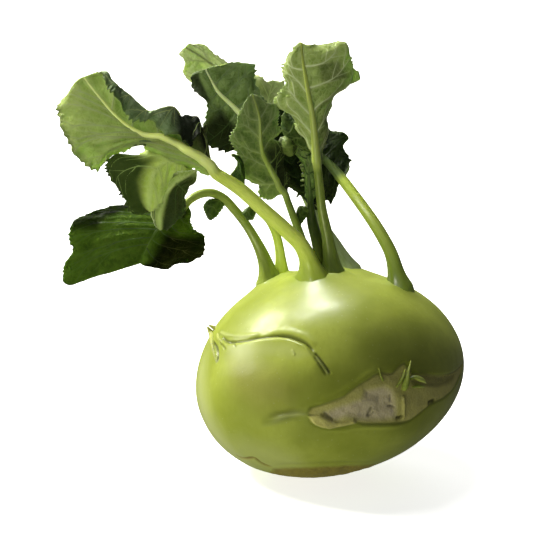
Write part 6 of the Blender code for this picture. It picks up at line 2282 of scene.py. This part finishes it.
@dataclass
class Studio:
    """The pale floor, the soft light and the camera."""

    floor_half: float = 12000.0
    target: Point = (-14.0, 0.0, 77.0)
    distance: float = 700.0
    elevation: float = 12.0
    lens: float = 124.6
    world: str = "ffffff"
    world_strength: float = 0.08
    lamps: tuple[Lamp, ...] = LAMPS
    paper: StudioPaper = field(default_factory=StudioPaper)

    def dress(self) -> None:
        """Builds the whole studio."""
        half = self.floor_half
        corners = np.array([(-half, -half, 0), (half, -half, 0), (half, half, 0), (-half, half, 0)], float)
        floor = plain_mesh("studio_floor", corners, [np.array([[0, 1, 2, 3]])])
        floor.data.materials.append(self.paper.build())
        floor.visible_diffuse = False
        floor.visible_glossy = False
        floor.visible_shadow = False
        for lamp in self.lamps:
            lamp.build()
        world = bpy.data.worlds.new("studio_air")
        world.use_nodes = True
        sky = next(node for node in world.node_tree.nodes if node.type == "BACKGROUND")
        sky.inputs["Color"].default_value = linear(self.world)
        sky.inputs["Strength"].default_value = self.world_strength
        bpy.context.scene.world = world
        data = bpy.data.cameras.new("front_view")
        data.lens = self.lens
        data.clip_end = 100.0
        camera = bpy.data.objects.new("front_view", data)
        tilt = math.radians(self.elevation)
        x, y, z = self.target
        camera.location = (
            x * MM, (y - self.distance * math.cos(tilt)) * MM, (z + self.distance * math.sin(tilt)) * MM
        )
        camera.rotation_euler = (math.pi / 2 - tilt, 0.0, 0.0)
        bpy.context.scene.collection.objects.link(camera)
        bpy.context.scene.camera = camera
        bpy.context.scene.view_settings.view_transform = "Standard"


# -------------------------------------------------------------------------------------------------- main


def grow_blade(name: str, shape: BladeShape) -> Blade:
    """Sets up one blade with its finishes and its own way of growing."""
    veins = VEIN_FINISHES.get(name, VeinRind(name))
    return Blade(name, shape, LEAF_FINISHES[name], veins, **LEAF_GROWTH[name])


def main() -> None:
    """Builds every piece in order."""
    logging.basicConfig(level=logging.INFO, format="%(name)s: %(message)s")
    sweep = sweep_tree()
    bulb = Bulb()
    stalks = [
        Stalk(name, route, STALK_FINISHES[name], BLADES[name], **STALK_SHAPES.get(name, {}))
        for name, route in STEMS.items()
    ]
    bulb.dress(stalks)
    for stalk in stalks:
        grid = grow_blade(stalk.name, stalk.blade).dress(sweep, "blade_" + stalk.name)
        stalk.dress(bulb, grid, sweep)
    for name, shape in SIDE_LOBES.items():
        grow_blade(name, shape).dress(sweep, LOBE_NODES.get(name, ""))
    for number, (name, shape) in enumerate(LEAFLETS.items()):
        seed = FIRST_LEAFLET_SEED + number
        leaflet = Blade("small_" + name, shape, YOUNG_TISSUE, YOUNG_VEINS, seed=seed, **LEAFLET_GROWTH)
        leaflet.dress(sweep, "leaflet_" + name)
    OLD_STUB.dress(bulb, sweep)
    SIDE_SHOOT.dress(bulb, sweep)
    Studio().dress()


if __name__ == "__main__":
    main()
